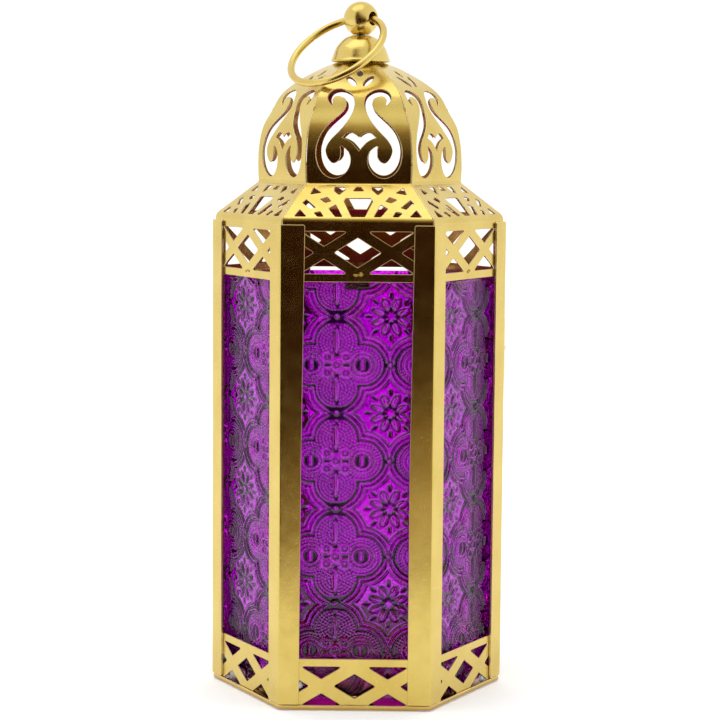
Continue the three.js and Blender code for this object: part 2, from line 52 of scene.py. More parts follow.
# ---- driving dimensions: the CAD model's, unless a comment says that they differ
SIDE = 51.0
SHEET = 0.6
GAP = 0.3
COS30 = math.cos(math.radians(30))
TAN30 = math.tan(math.radians(30))
POST_OUT = SIDE * COS30
PANEL_OUT = POST_OUT - SHEET - GAP
PANEL_IN = PANEL_OUT - SHEET
GLASS_OUT = PANEL_IN - 0.5 - 2 * GAP
GLASS_THICK = 3.0
GLASS_HALF = 22.0  # 0.4 wider than the CAD model's
GLASS_MITRE = 0.9  # how much wider a fixed pane is on its outer side
DOOR_IN = POST_OUT + GAP
DOOR_OUT = DOOR_IN + SHEET
HINGE_OUT = DOOR_OUT + 0.8

FACES = {"front": 270, "front_right": 330, "rear_right": 30,
         "rear": 90, "rear_left": 150, "front_left": 210}
CORNERS = {"right": 0, "rear_right": 60, "rear_left": 120,
           "left": 180, "front_left": 240, "front_right": 300}
FACE_ANGLES = range(30, 390, 60)
DOOR_FACE = "rear_right"

POST_TOP = 162.2
POST_FOOT = 2.1  # where the visible posts start, above the hem
HEM = (0.55, 1.9)
HEM_OUT = 0.7  # how far the hem stands proud of the tray
POST_FLANGE = 7.2
POST_RADIUS = 1.1  # outer radius of the bend along a post
POST_VISIBLE = 0.87  # thick enough to close the gap behind it
# how far an edge of a post strays from true, at each height
POST_LEAN = {
    ("front_left", "left"): ((-0.3, POST_FOOT), (0.1, 81), (1.0, POST_TOP)),
    ("front_right", "right"): ((0.6, POST_FOOT), (0.6, 81), (-0.3, POST_TOP)),
}
TRAY_RIM = 17.6
TRAY_SIDE_HALF = 24.0
TRAY_RADIUS = 0.9
RELIEF_RADIUS = 3.2  # the round reliefs at the tray's corners, smaller than the CAD model's
RELIEF_CENTRE = 47.0
VENT_RADIUS = 1.5
VENT_INSET = 6.0

GRILLE_PITCH = 22.2
WINDOW_HALF = 20.0
LOW_WINDOW = (1.7, 14.9)
LOW_BAR = 4.3  # 0.4 narrower than the CAD model's
HIGH_WINDOW = (146.2, 160.05)
HIGH_BAR = 3.6
BAR_OVERRUN = 0.06  # how far the bars' crossings lie past the band; 0.6 in the CAD model

ROOF_FOOT = 143.5
EAVE = (43.27, 164.7)
DOME_FOOT = (30.4, 175.4)
DOME_CORNERS = [
    (35.1, 175.4), (35.3, 181), (35, 187.5), (33.6, 194.2), (30.6, 199.7),
    (27.6, 205), (22.9, 209.1), (16, 213.1), (9.8, 215.8), (5, 216.8),
]

DOOR_HALF = 19.3
DOOR_Z = (15.9, 145.2)
DOOR_OPEN_HALF = 15.2
DOOR_OPEN_Z = (20.4, 140.7)
DOOR_GLASS_HALF = 16.6

HINGE_X = 21.0
HINGE_Z = {"low": 43.0, "high": 118.0}
KNUCKLE_RADIUS = 1.3
KNUCKLE_LENGTH = 5.0
LEAF_REACH = 4.2
LEAF_START = 0.9  # how far from the pin's axis a leaf starts
LEAF_RIVET_Z = 4.6  # how far above and below the hinge's middle the rivets sit
PIN_RADIUS = 0.6

BUTTON_X = -21.4
BUTTON_Z = 118.0
BUTTON_LENGTH = 22.0
BUTTON_WIDTH = 3.2
BUTTON_IN = DOOR_OUT + GAP
RIVET_RADIUS = 0.8
RIVET_HEAD = 1.2

CAP_BELL = [
    (10, 216.6), (10.3, 217.1), (9.9, 217.8), (9.4, 219.2),
    (8.5, 221.4), (7.2, 223.1), (5.4, 224.7), (3.6, 225.5),
]
CAP_TOP = 225.6
SCREW_RADIUS = 1.5
BALL_Z = 231.25
BALL_RADIUS = 5.95
NECK_RADIUS = 3.0
EYE_RADIUS = 2.15
EYE_ANGLE = -39
RING_RADIUS = 17.3
WIRE_RADIUS = 1.25
RING_LEAN = 41.3
RING_LIFT = 0.5
SEAM_ANGLE = 205  # where the two ends of the wire meet
SEAM_DIP, SEAM_HALF = 0.16, 0.35  # how deep the joint is, as a part of the wire, and how wide

# where each piece's random numbers start
SEEDS = {"tray": 5, "posts": 20, "roof": 40, "door": 61, "solder": 70, "glue": 120}

# ---- pierced ornament on the flat sheet: across the face, then up the sheet
SCROLL = [
    (9, 27.1, 0.4), (9.8, 29.3, 1.6), (8.7, 31.4, 2.6), (6.5, 31.9, 3.1), (3.8, 30.3, 2.8),
    (3, 27.9, 2.7), (3.4, 25.5, 2.7), (4.5, 23.4, 3.1), (6.5, 20.8, 3.8), (8.8, 18.3, 4),
    (10.8, 16, 3.7), (12.2, 13.4, 3.2), (12.75, 11.2, 3.1), (12.5, 8.8, 3.5), (11.6, 6.6, 4.1),
    (10.2, 5.0, 4.6), (8.5, 4.35, 4.9), (6.7, 4.9, 4.7), (5.3, 6.3, 4.2), (4.6, 8.2, 3.5),
    (4.7, 10.0, 2.6), (5.3, 11.3, 1.5), (6.1, 12.4, 0.4),
]
HEART = [
    (0, 15.4), (1.1, 16.3), (2.5, 17), (3.9, 16.85), (5.6, 15.4),
    (4, 14.75), (2.6, 13.9), (1.4, 12.7), (0, 11),
]
LEAF = (2.9, 38, 3.4, 1.15, 26)  # x, s, half length, half width, tilt
BUD = (0, 42.6, 2.1, 1, 0)
SKIRT_MIDDLE = [
    [(-2.2, 0.9), (2.2, 0.9), (4.8, 8.5), (4.2, 9.8), (-4.2, 9.8), (-4.8, 8.5)],
    [(-1.9, 13.3), (1.9, 13.3), (0.8, 15.4), (-0.8, 15.4)],
]
SKIRT_SIDE = [
    [(4.5, 13.9), (6.4, 11.4), (8, 13.3), (8, 15.3), (4.3, 15.3)],
    [(12.2, 12.5), (16, 11.6), (14.9, 15.1)],
    [(8.9, 8.4), (10.8, 7.6), (12.9, 9.2), (10.2, 10.4)],
    [(13.9, 5.3), (15.8, 4.6), (18.4, 7.5), (17.2, 9.2)],
    [(5.1, 0.9), (7.5, 0.9), (9.8, 4.9), (7.4, 6.8)],
    [(11.3, 0.9), (13.3, 0.9), (14.6, 2.8), (12.4, 3.4)],
    [(16.9, 0.9), (21, 0.9), (19.2, 4.4)],
]


# ---- materials
class Nodes:
    """A thin wrapper that keeps material code short."""

    def __init__(self, name):
        self.material = bpy.data.materials.new(name)
        self.material.use_nodes = True
        self.tree = self.material.node_tree
        self.shader = self.tree.nodes["Principled BSDF"]

    def add(self, kind, **settings):
        node = self.tree.nodes.new(kind)
        for key, value in settings.items():
            if key in node.inputs:
                node.inputs[key].default_value = value
            else:
                setattr(node, key, value)
        return node

    def link(self, start, end):
        self.tree.links.new(start, end)

    def place(self):
        return self.add("ShaderNodeTexCoord").outputs["Object"]

    def noise(self, size, detail=2.0, rough=0.5):
        """Noise whose features are about size mm across."""
        node = self.add(
            "ShaderNodeTexNoise", Scale=1.0 / (size * MM), Detail=detail, Roughness=rough)
        self.link(self.place(), node.inputs["Vector"])
        return node.outputs["Fac"]

    def ramp(self, source, stops):
        node = self.add("ShaderNodeValToRGB")
        elements = node.color_ramp.elements
        while len(elements) < len(stops):
            elements.new(0.5)
        for element, (position, colour) in zip(elements, stops):
            element.position = position
            element.color = (*(colour if isinstance(colour, tuple) else [colour] * 3), 1)
        self.link(source, node.inputs["Fac"])
        return node.outputs["Color"]

    def mix(self, factor, first, second):
        node = self.add("ShaderNodeMix", data_type="RGBA")
        if isinstance(factor, float):
            node.inputs[0].default_value = factor
        else:
            self.link(factor, node.inputs[0])
        for socket, value in ((node.inputs[6], first), (node.inputs[7], second)):
            if isinstance(value, tuple):
                socket.default_value = (*value, 1)
            else:
                self.link(value, socket)
        return node.outputs[2]

    def math(self, operation, *values):
        node = self.add("ShaderNodeMath", operation=operation)
        for socket, value in zip(node.inputs, values):
            if isinstance(value, float):
                socket.default_value = value
            else:
                self.link(value, socket)
        return node.outputs[0]

    def finish(self, settings, bump):
        """Sets the shader's sockets by name, and returns the material."""
        for key, value in {**settings, "Normal": bump}.items():
            if isinstance(value, float):
                self.shader.inputs[key].default_value = value
            else:
                self.link(value, self.shader.inputs[key])
        return self.material

    def attribute(self, name):
        return self.add("ShaderNodeAttribute", attribute_name=name).outputs["Fac"]

    def bump(self, height, distance, strength=1.0, before=None):
        node = self.add("ShaderNodeBump", Strength=strength, Distance=distance * MM)
        self.link(height, node.inputs["Height"])
        if before is not None:
            self.link(before, node.inputs["Normal"])
        return node.outputs["Normal"]


EDGE_HIGHLIGHT_GOLD = (0.97, 0.83, 0.50)
EDGE_ROUGHNESS = (0.38, 0.38, 0.38)
INNER_AND_FOOT_SHADE_TINT = (0.62, 0.42, 0.38)


def gold(name, colour, deep, roughness, grain=0.006, grain_size=0.45):
    """Satin gold lacquer over sheet metal: fine grain, cloudy tone, specks, cut edges painted pale
    as a highlight, and a browner tint that also paints shade.
    """
    n = Nodes(name)
    cloud = n.ramp(n.noise(16.0, 3.0), [(0.35, 0.0), (0.7, 1.0)])
    tone = n.mix(cloud, colour, deep)
    specks = n.ramp(n.noise(0.55, 1.0), [(0.70, 0.0), (0.78, 1.0)])
    bright = tuple(min(1.0, c * 1.25 + 0.08) for c in colour)
    tone = n.mix(specks, tone, bright)
    edge = n.attribute("edge")
    # a painted highlight: cut edges and the hem's top, marked 1, take a pale cream gold
    tone = n.mix(edge, tone, EDGE_HIGHLIGHT_GOLD)
    # the inner side of a sheet, marked -1, is browner; on the hem the same mark paints shade along
    # the foot
    inner = n.math("MULTIPLY", edge, -1.0)
    tone = n.mix(inner, tone, tuple(c * k for c, k in zip(colour, INNER_AND_FOOT_SHADE_TINT)))
    streaks = n.ramp(n.noise(5.0, 4.0, 0.6), [(0.3, roughness - 0.04), (0.75, roughness + 0.07)])
    rough = n.mix(edge, streaks, EDGE_ROUGHNESS)
    fine = n.bump(n.noise(grain_size, 2.0, 0.6), grain)
    raised = n.bump(specks, 0.012, before=fine)
    uneven = n.bump(n.noise(7.0, 2.0), 0.03, before=raised)
    return n.finish({"Base Color": tone, "Metallic": 1.0, "Roughness": rough}, uneven)


def steel(name):
    n = Nodes(name)
    cloud = n.ramp(n.noise(2.5, 4.0), [(0.4, 0.0), (0.7, 1.0)])
    tone = n.mix(cloud, (0.50, 0.48, 0.45), (0.30, 0.27, 0.23))
    rough = n.ramp(n.noise(1.2, 3.0), [(0.3, 0.32), (0.8, 0.5)])
    bump = n.bump(n.noise(0.3, 3.0), 0.02)
    return n.finish({"Base Color": tone, "Metallic": 1.0, "Roughness": rough}, bump)


def violet_glass(name):
    """Pressed glass: clear violet, with painted shade on the relief's slopes and grooves and along
    its rim.
    """
    n = Nodes(name)
    painted_glass_shade = n.attribute("painted_glass_shade")
    cloud = n.ramp(n.noise(9.0, 2.0), [(0.35, 0.0), (0.7, 1.0)])
    tone = n.mix(cloud, (0.86, 0.010, 0.94), (0.72, 0.010, 0.90))
    # painted shade: near black on the relief's slopes, in its grooves and on the rim
    tone = n.mix(painted_glass_shade, tone, (0.0015, 0.0, 0.003))
    return n.finish({
        "Base Color": tone, "Transmission Weight": 1.0, "IOR": 1.5, "Specular IOR Level": 0.1,
        "Roughness": 0.02,
    }, n.bump(n.noise(1.6, 2.0), 0.03))


def glue(name):
    n = Nodes(name)
    tone = n.mix(n.noise(1.5, 2.0), (0.95, 0.95, 0.93), (0.88, 0.85, 0.80))
    return n.finish({"Base Color": tone, "Roughness": 0.3}, n.bump(n.noise(1.0, 2.0), 0.05))


# ---- camera, floor and light
CAMERA_TARGET = (0.58, 0.0, 113.53)
CAMERA_DISTANCE = 757.45
CAMERA_RISE = 5.8193  # degrees
CAMERA_AZIMUTH = 0.5636  # towards +X
CAMERA_ROLL = 0.4503
CAMERA_LENS = 108.555


def add_camera():
    rise = math.radians(CAMERA_RISE)
    back = np.array([0, -math.cos(rise), math.sin(rise)])
    right = np.array([1.0, 0, 0])
    up = np.cross(right, -back)
    roll = math.radians(CAMERA_ROLL)
    across = right * math.cos(roll) + up * math.sin(roll)
    upward = up * math.cos(roll) - right * math.sin(roll)
    place = (np.array(CAMERA_TARGET) + back * CAMERA_DISTANCE) * MM
    matrix = Matrix.Identity(4)
    for column, vector in enumerate((across, upward, back, place)):
        for row in range(3):
            matrix[row][column] = vector[row]
    data = bpy.data.cameras.new("camera")
    data.lens = CAMERA_LENS
    data.sensor_width = 36
    data.clip_end = 50
    camera = bpy.data.objects.new("camera", data)
    camera.matrix_world = Matrix.Rotation(math.radians(CAMERA_AZIMUTH), 4, "Z") @ matrix
    bpy.context.scene.collection.objects.link(camera)
    bpy.context.scene.camera = camera


def add_card(name, corners, tones, waist, spread):
    """A card that only reflections see, with its tones listed by height.

    The tones close in on the height of the waist: spread gives how much at the middle of the card,
    and how much more for each millimetre to the right.
    """
    mesh = bpy.data.meshes.new(name)
    mesh.from_pydata([[c * MM for c in corner] for corner in corners], [], [(0, 1, 2, 3)])
    card = bpy.data.objects.new(name, mesh)
    bpy.context.scene.collection.objects.link(card)
    n = Nodes(name)
    at = n.add("ShaderNodeSeparateXYZ")
    n.link(n.place(), at.inputs[0])
    closing = n.math("MULTIPLY_ADD", at.outputs["X"], spread[1] / MM, spread[0])
    above = n.math("SUBTRACT", at.outputs["Z"], waist * MM)
    level = n.add("ShaderNodeMapRange")
    n.link(n.math("MULTIPLY_ADD", above, closing, waist * MM), level.inputs["Value"])
    top = corners[2][2]
    level.inputs["From Max"].default_value = top * MM
    light = n.add("ShaderNodeEmission")
    stops = [(z / top, tone) for z, tone in tones]
    n.link(n.ramp(level.outputs["Result"], stops), light.inputs["Color"])
    n.tree.nodes.remove(n.shader)
    # light that has met no shiny surface yet passes straight through the card
    bounces = n.add("ShaderNodeLightPath").outputs["Glossy Depth"]
    either = n.add("ShaderNodeMixShader")
    n.link(n.math("GREATER_THAN", bounces, 0.5), either.inputs[0])
    n.link(n.add("ShaderNodeBsdfTransparent").outputs[0], either.inputs[1])
    n.link(light.outputs[0], either.inputs[2])
    out = next(node for node in n.tree.nodes if node.type == "OUTPUT_MATERIAL")
    n.link(either.outputs[0], out.inputs["Surface"])
    mesh.materials.append(n.material)
    card.visible_camera = False
    card.visible_diffuse = False
    card.visible_shadow = False


def add_stage():
    world = bpy.data.worlds.new("studio")
    bpy.context.scene.world = world
    world.use_nodes = True
    background = world.node_tree.nodes["Background"]
    background.inputs["Color"].default_value = (1, 1, 1, 1)
    background.inputs["Strength"].default_value = 1.08
    reach = 3000.0 * MM
    mesh = bpy.data.meshes.new("floor")
    corners = [(-reach, -reach, 0), (reach, -reach, 0), (reach, reach, 0), (-reach, reach, 0)]
    mesh.from_pydata(corners, [], [(0, 1, 2, 3)])
    floor = bpy.data.objects.new("floor", mesh)
    bpy.context.scene.collection.objects.link(floor)
    pale = bpy.data.materials.new("floor")
    pale.use_nodes = True
    shader = pale.node_tree.nodes["Principled BSDF"]
    shader.inputs["Base Color"].default_value = (0.93, 0.93, 0.93, 1)
    shader.inputs["Roughness"].default_value = 0.8
    shader.inputs["Emission Color"].default_value = (1, 1, 1, 1)
    shader.inputs["Emission Strength"].default_value = 0.2
    mesh.materials.append(pale)
    # the dark side of the room, which the front of the gold body reflects
    wide, away, top = 190, -250, 500
    dark = (0.034, 0.012, 0.006)
    tones = [
        (0, (0.62, 0.52, 0.38)), (10, (0.46, 0.35, 0.22)), (32, (0.24, 0.16, 0.09)),
        (60, (0.10, 0.055, 0.03)), (85, dark), (215, dark), (275, (0.165, 0.112, 0.062)),
        (350, (0.44, 0.335, 0.20)), (416, (0.72, 0.605, 0.43)), (458, (0.85, 0.78, 0.65)),
        (500, (1.0, 1.0, 1.0)),
    ]
    corners = [(-wide, away, 0), (wide, away, 0), (wide, away, top), (-wide, away, top)]
    add_card("dark_side", corners, tones, waist=150, spread=(1.2, 0.0065))
    lamp = bpy.data.lights.new("softbox", "AREA")
    lamp.shape = "RECTANGLE"
    lamp.size = 0.9
    lamp.size_y = 0.7
    lamp.energy = 1.4
    softbox = bpy.data.objects.new("softbox", lamp)
    softbox.location = (-0.25, -0.15, 1.1)
    softbox.rotation_euler = (math.radians(-8), math.radians(-13), 0)
    bpy.context.scene.collection.objects.link(softbox)
    bpy.context.scene.view_settings.view_transform = "Standard"


# ---- mesh tools
BATCH = 400  # points tested at a time


def unit(vectors):
    return vectors / np.maximum(np.linalg.norm(vectors, axis=-1, keepdims=True), 1e-9)


def turn_z(points, degrees):
    angle = math.radians(degrees)
    x = points[:, 0] * math.cos(angle) - points[:, 1] * math.sin(angle)
    y = points[:, 0] * math.sin(angle) + points[:, 1] * math.cos(angle)
    return np.column_stack([x, y, points[:, 2]])


def face_turn(face):
    return FACES[face] - FACES["front"]


def axes(degrees):
    """Unit vectors out of a face that looks this way, and across it."""
    angle = math.radians(degrees)
    c, s = math.cos(angle), math.sin(angle)
    return np.array([c, s, 0]), np.array([-s, c, 0])


def run_along(line):
    """Distance along the line at each of its points."""
    return np.concatenate([[0], np.cumsum(np.linalg.norm(np.diff(line, axis=0), axis=1))])


def looked_up(at, run, line):
    """Both coordinates of the line at a distance along it."""
    return tuple(np.interp(at, run, line[:, k]) for k in range(2))


def net(rows, columns, closed=True):
    """Faces between rings of points; closed joins the last ring to the first."""
    faces = []
    for i in range(rows if closed else rows - 1):
        j = (i + 1) % rows
        for k in range(columns):
            m = (k + 1) % columns
            faces.append([i * columns + k, j * columns + k, j * columns + m, i * columns + m])
    return faces


def smooth_line(points, steps, power=0.5):
    """A Catmull-Rom line through the points; power 0.5 is centripetal, 0 is uniform."""
    p = np.asarray(points, float)
    p = np.vstack([2 * p[0] - p[1], p, 2 * p[-1] - p[-2]])
    line = []
    for i in range(1, len(p) - 2):
        spans = [max(np.linalg.norm(p[i + k] - p[i + k - 1]) ** power, 1e-6) for k in range(3)]
        chords = [(p[i + k] - p[i + k - 1]) / spans[k] for k in range(3)]
        skips = [(p[i + k + 1] - p[i + k - 1]) / (spans[k] + spans[k + 1]) for k in range(2)]
        start = (chords[0] - skips[0] + chords[1]) * spans[1]
        end = (chords[1] - skips[1] + chords[2]) * spans[1]
        for t in np.linspace(0, 1, steps, endpoint=False):
            line.append((2 * t**3 - 3 * t**2 + 1) * p[i] + (t**3 - 2 * t**2 + t) * start
                        + (3 * t**2 - 2 * t**3) * p[i + 1] + (t**3 - t**2) * end)
    line.append(p[-2])
    return np.array(line)


def rounded(points, radius, steps=4):
    """The closed outline with its corners rounded."""
    p = np.asarray(points, float)
    out = []
    for i in range(len(p)):
        before, here, after = p[i - 1], p[i], p[(i + 1) % len(p)]
        a, b = before - here, after - here
        la, lb = np.linalg.norm(a), np.linalg.norm(b)
        half = 0.5 * math.acos(np.clip(np.dot(a, b) / (la * lb), -1, 1))
        if half > math.radians(84):
            out.append(here)
            continue
        cut = min(radius / math.tan(half), 0.42 * la, 0.42 * lb)
        start, end = here + a / la * cut, here + b / lb * cut
        for t in np.linspace(0, 1, steps + 1):
            out.append((1 - t) ** 2 * start + 2 * t * (1 - t) * here + t**2 * end)
    return np.array(out)


def resampled(points, step):
    p = np.asarray(points, float)
    out = []
    for i in range(len(p)):
        here, after = p[i], p[(i + 1) % len(p)]
        count = max(1, math.ceil(np.linalg.norm(after - here) / step))
        out.extend(here + (after - here) * k / count for k in range(count))
    out = np.array(out)
    keep = np.linalg.norm(out - np.roll(out, 1, 0), axis=1) > 0.02
    return out[keep]


def wound(loop, left):
    """The loop wound so that the material is on its left."""
    x, y = loop[:, 0], loop[:, 1]
    area = np.sum(x * np.roll(y, -1) - y * np.roll(x, -1))
    return loop if (area > 0) == left else loop[::-1]


def loop_normals(loop):
    """Unit vectors that point out of the material, with the stretch that keeps an inset even."""
    before = unit(loop - np.roll(loop, 1, 0))
    after = unit(np.roll(loop, -1, 0) - loop)
    n1 = np.column_stack([before[:, 1], -before[:, 0]])
    n2 = np.column_stack([after[:, 1], -after[:, 0]])
    middle = unit(n1 + n2)
    stretch = 1 / np.clip(np.sum(middle * n1, axis=1), 0.5, 1)
    return middle, stretch[:, None]


def inside(points, loops):
    """Even-odd test against all the loops together."""
    start = np.vstack(loops)
    end = np.vstack([np.roll(loop, -1, 0) for loop in loops])
    crossings = np.zeros(len(points), int)
    for first in range(0, len(points), BATCH):
        px = points[first:first + BATCH, 0][:, None]
        py = points[first:first + BATCH, 1][:, None]
        spans = (start[:, 1] > py) != (end[:, 1] > py)
        rise = np.where(end[:, 1] == start[:, 1], 1e-12, end[:, 1] - start[:, 1])
        at = start[:, 0] + (py - start[:, 1]) * (end[:, 0] - start[:, 0]) / rise
        crossings[first:first + BATCH] = np.sum(spans & (px < at), axis=1)
    return crossings % 2 == 1


def far_from(points, others, distance):
    keep = np.ones(len(points), bool)
    for first in range(0, len(points), BATCH):
        part = points[first:first + BATCH]
        gaps = np.min(np.sum((part[:, None] - others[None]) ** 2, axis=2), axis=1)
        keep[first:first + BATCH] = gaps > distance**2
    return keep


def filled(loops, grid, extra=None):
    """Triangles over the region between the loops, with points on a grid and any extra ones."""
    edge_points = np.vstack(loops)
    low, high = edge_points.min(0), edge_points.max(0)
    points = edge_points
    if grid:
        xs = np.arange(low[0] + grid / 2, high[0], grid)
        ys = np.arange(low[1] + grid / 2, high[1], grid)
        spread = np.array([(x + j % 2 * grid / 2, y) for j, y in enumerate(ys) for x in xs])
        spread = spread[inside(spread, loops)]
        spread = spread[far_from(spread, edge_points, 0.55 * grid)]
        if extra is not None:
            extra = extra[inside(extra, loops)]
            extra = extra[far_from(extra, edge_points, 0.25)]
            spread = np.vstack([spread[far_from(spread, extra, 0.5 * grid)], extra])
        points = np.vstack([edge_points, spread])
    edges = []
    first = 0
    for loop in loops:
        count = len(loop)
        edges += [(first + k, first + (k + 1) % count) for k in range(count)]
        first += count
    found, _, triangles, sources, _, _ = geometry.delaunay_2d_cdt(
        [tuple(p) for p in points], edges, [], 0, 1e-9)
    if len(found) != len(points):
        raise RuntimeError("an outline crosses itself")
    back = [source[0] for source in sources]
    triangles = np.array([[back[i] for i in t] for t in triangles])
    centres = points[triangles].mean(axis=1)
    triangles = triangles[inside(centres, loops)]
    a, b, c = (points[triangles[:, k]] for k in range(3))
    turned_over = np.cross(b - a, c - a) < 0
    triangles[turned_over] = triangles[turned_over][:, ::-1]
    return points, triangles


def frames(bend, flat):
    """Directions across, up and out of the sheet at each flat point."""
    small = 0.02
    u, v = flat[:, 0], flat[:, 1]
    zero = np.zeros(len(flat))
    across = unit(bend(u + small, v, zero) - bend(u - small, v, zero))
    upward = unit(bend(u, v + small, zero) - bend(u, v - small, zero))
    return across, upward, unit(np.cross(across, upward))


class Shell:
    """Collects the points, normals and faces of one mesh."""

    def __init__(self):
        self.points, self.normals, self.faces, self.marks, self.count = [], [], [], [], 0

    def add(self, points, normals, faces, marks=None):
        self.points.append(points)
        self.normals.append(normals)
        self.faces += [[self.count + i for i in face] for face in faces]
        self.marks.append(np.zeros(len(points)) if marks is None else marks)
        self.count += len(points)

    def sheet(self, outer, holes, bend, thick=SHEET, grid=1.3, bevel=0.2, step=0.7, turn=0.0,
              extra=None):
        """A sheet with rounded edges: flat outlines, laid along bend(u, v, depth)."""
        loops = [wound(resampled(outer, step), True)]
        loops += [wound(resampled(hole, step), False) for hole in holes]
        outs = [loop_normals(loop) for loop in loops]
        insets = [loop - out * stretch * bevel for loop, (out, stretch) in zip(loops, outs)]
        flat, triangles = filled(insets, grid, extra)
        rim = np.vstack(loops)
        rim_out = np.vstack([out for out, _ in outs])
        across, upward, outward = frames(bend, flat)
        rim_across, rim_upward, _ = frames(bend, rim)
        rim_normals = unit(rim_across * rim_out[:, :1] + rim_upward * rim_out[:, 1:])
        full, ring = len(flat), len(rim)
        positions = [
            bend(flat[:, 0], flat[:, 1], np.zeros(full)),
            bend(rim[:, 0], rim[:, 1], np.full(ring, bevel)),
            bend(rim[:, 0], rim[:, 1], np.full(ring, thick - bevel)),
            bend(flat[:, 0], flat[:, 1], np.full(full, thick)),
        ]
        normals = [outward, rim_normals, rim_normals, -outward]
        starts = [0, full, full + ring, full + 2 * ring]
        faces = triangles.tolist() + (triangles[:, ::-1] + starts[3]).tolist()
        first = 0
        for loop in loops:
            count = len(loop)
            for k in range(count):
                i, j = first + k, first + (k + 1) % count
                for upper, lower in zip(starts[:-1], starts[1:]):
                    faces.append([upper + i, lower + i, lower + j, upper + j])
            first += count
        # 1 marks a cut edge, which gets a painted highlight, and -1 the inner side, which is
        # painted browner
        marks = np.concatenate([np.zeros(full), np.ones(2 * ring), -np.ones(full)])
        self.add(turn_z(np.vstack(positions), turn), turn_z(np.vstack(normals), turn), faces, marks)

    def turned(self, profile, sides=32, place=None, closed=False):
        """A turned body about +Z: profile of (radius, height) from bottom to top."""
        p = np.asarray(profile, float)
        angles = np.linspace(0, 2 * math.pi, sides, endpoint=False)
        along = unit(np.roll(p, -1, 0) - np.roll(p, 1, 0) if closed else np.gradient(p, axis=0))
        slope = np.column_stack([along[:, 1], -along[:, 0]])
        points = [(r * math.cos(a), r * math.sin(a), z) for r, z in p for a in angles]
        normals = [(nr * math.cos(a), nr * math.sin(a), nz) for nr, nz in slope for a in angles]
        faces = [[a, d, c, b] for a, b, c, d in net(len(p), sides, closed)]
        if not closed:
            faces.append(list(range(sides))[::-1])
            faces.append([(len(p) - 1) * sides + k for k in range(sides)])
        points, normals = np.array(points), unit(np.array(normals))
        if place is not None:
            basis, origin = place
            points = points @ np.array(basis, float) + np.array(origin, float)
            normals = normals @ np.array(basis, float)
        self.add(points, normals, faces)

    def build(self, name, material, nodes=(), body="lantern", mark="edge"):
        mesh = bpy.data.meshes.new(name)
        points = np.vstack(self.points)
        mesh.from_pydata((points * MM).tolist(), [], self.faces)
        attribute = mesh.attributes.new(mark, "FLOAT", "POINT")
        attribute.data.foreach_set("value", np.concatenate(self.marks).astype(np.float32))
        mesh.polygons.foreach_set("use_smooth", np.ones(len(mesh.polygons), bool))
        mesh.normals_split_custom_set_from_vertices(np.vstack(self.normals).tolist())
        mesh.materials.append(material)
        piece = bpy.data.objects.new(name, mesh)
        bpy.context.scene.collection.objects.link(piece)
        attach(piece, body)
        if nodes:
            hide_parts(*nodes)
        return piece


def wave(u, v, seed, size):
    """Slow unevenness of a hand-worked sheet, between about -1 and 1."""
    rng = np.random.default_rng(seed)
    total = np.zeros(np.shape(u))
    for _ in range(6):
        angle, phase = rng.uniform(0, 2 * math.pi, 2)
        length = size * rng.uniform(0.6, 1.8)
        run = u * math.cos(angle) + v * math.sin(angle)
        total = total + np.sin(run * 2 * math.pi / length + phase)
    return total / 4


def along_profile(profile, seed, uneven):
    """Bends a sheet along a line of (distance from the axis, height), drawn from bottom to top."""
    p = np.asarray(profile, float)
    run = run_along(p)
    tangent = unit(np.gradient(p, run, axis=0))

    def bend(u, v, depth):
        a, z = looked_up(v, run, p)
        ta, tz = looked_up(v, run, tangent)
        depth = depth - uneven * wave(u, v, seed, 22.0)
        inner = a - depth * tz
        return np.column_stack([u * inner / a, -inner, z + depth * ta])

    return bend


def flat_face(distance, uneven):
    def bend(u, v, depth):
        depth = depth - uneven * wave(u, v, SEEDS["door"], 24.0)
        return np.column_stack([u, -(distance - depth), v])
    return bend


# ---- outlines
def box_outline(x0, x1, y0, y1, radius=0.0):
    corners = [(x0, y0), (x1, y0), (x1, y1), (x0, y1)]
    return rounded(corners, radius) if radius else np.array(corners, float)


def circle(x, y, radius, sides=24):
    turn = np.linspace(0, 2 * math.pi, sides, endpoint=False)
    return np.column_stack([x + radius * np.cos(turn), y + radius * np.sin(turn)])


def oval(x, s, long, wide, tilt):
    turn = np.linspace(0, 2 * math.pi, 28, endpoint=False)
    up, side = long * np.cos(turn), wide * np.sin(turn)
    sine, cosine = math.sin(math.radians(tilt)), math.cos(math.radians(tilt))
    return np.column_stack([x + up * sine + side * cosine, s + up * cosine - side * sine])


def stroke(stations):
    line = smooth_line(stations, 5)
    along = unit(np.gradient(line[:, :2], axis=0))
    side = np.column_stack([-along[:, 1], along[:, 0]]) * line[:, 2:] / 2
    points = np.vstack([line[:, :2] + side, (line[:, :2] - side)[::-1]])
    # a point inside the stroke itself, on the inner side of a tight curl, is left out
    gaps = np.linalg.norm(points[:, None] - line[None, :, :2], axis=2) - line[None, :, 2] / 2
    return points[gaps.min(axis=1) > -0.06]


def mirrored(points):
    return np.asarray(points, float)[::-1] * (-1, 1)


def clipped(points, normal, offset):
    """The part of a convex outline where dot(point, normal) >= offset."""
    out = []
    for i in range(len(points)):
        here, after = points[i], points[(i + 1) % len(points)]
        da, db = np.dot(here, normal) - offset, np.dot(after, normal) - offset
        if da >= 0:
            out.append(here)
        if (da >= 0) != (db >= 0):
            out.append(here + (after - here) * da / (da - db))
    return out


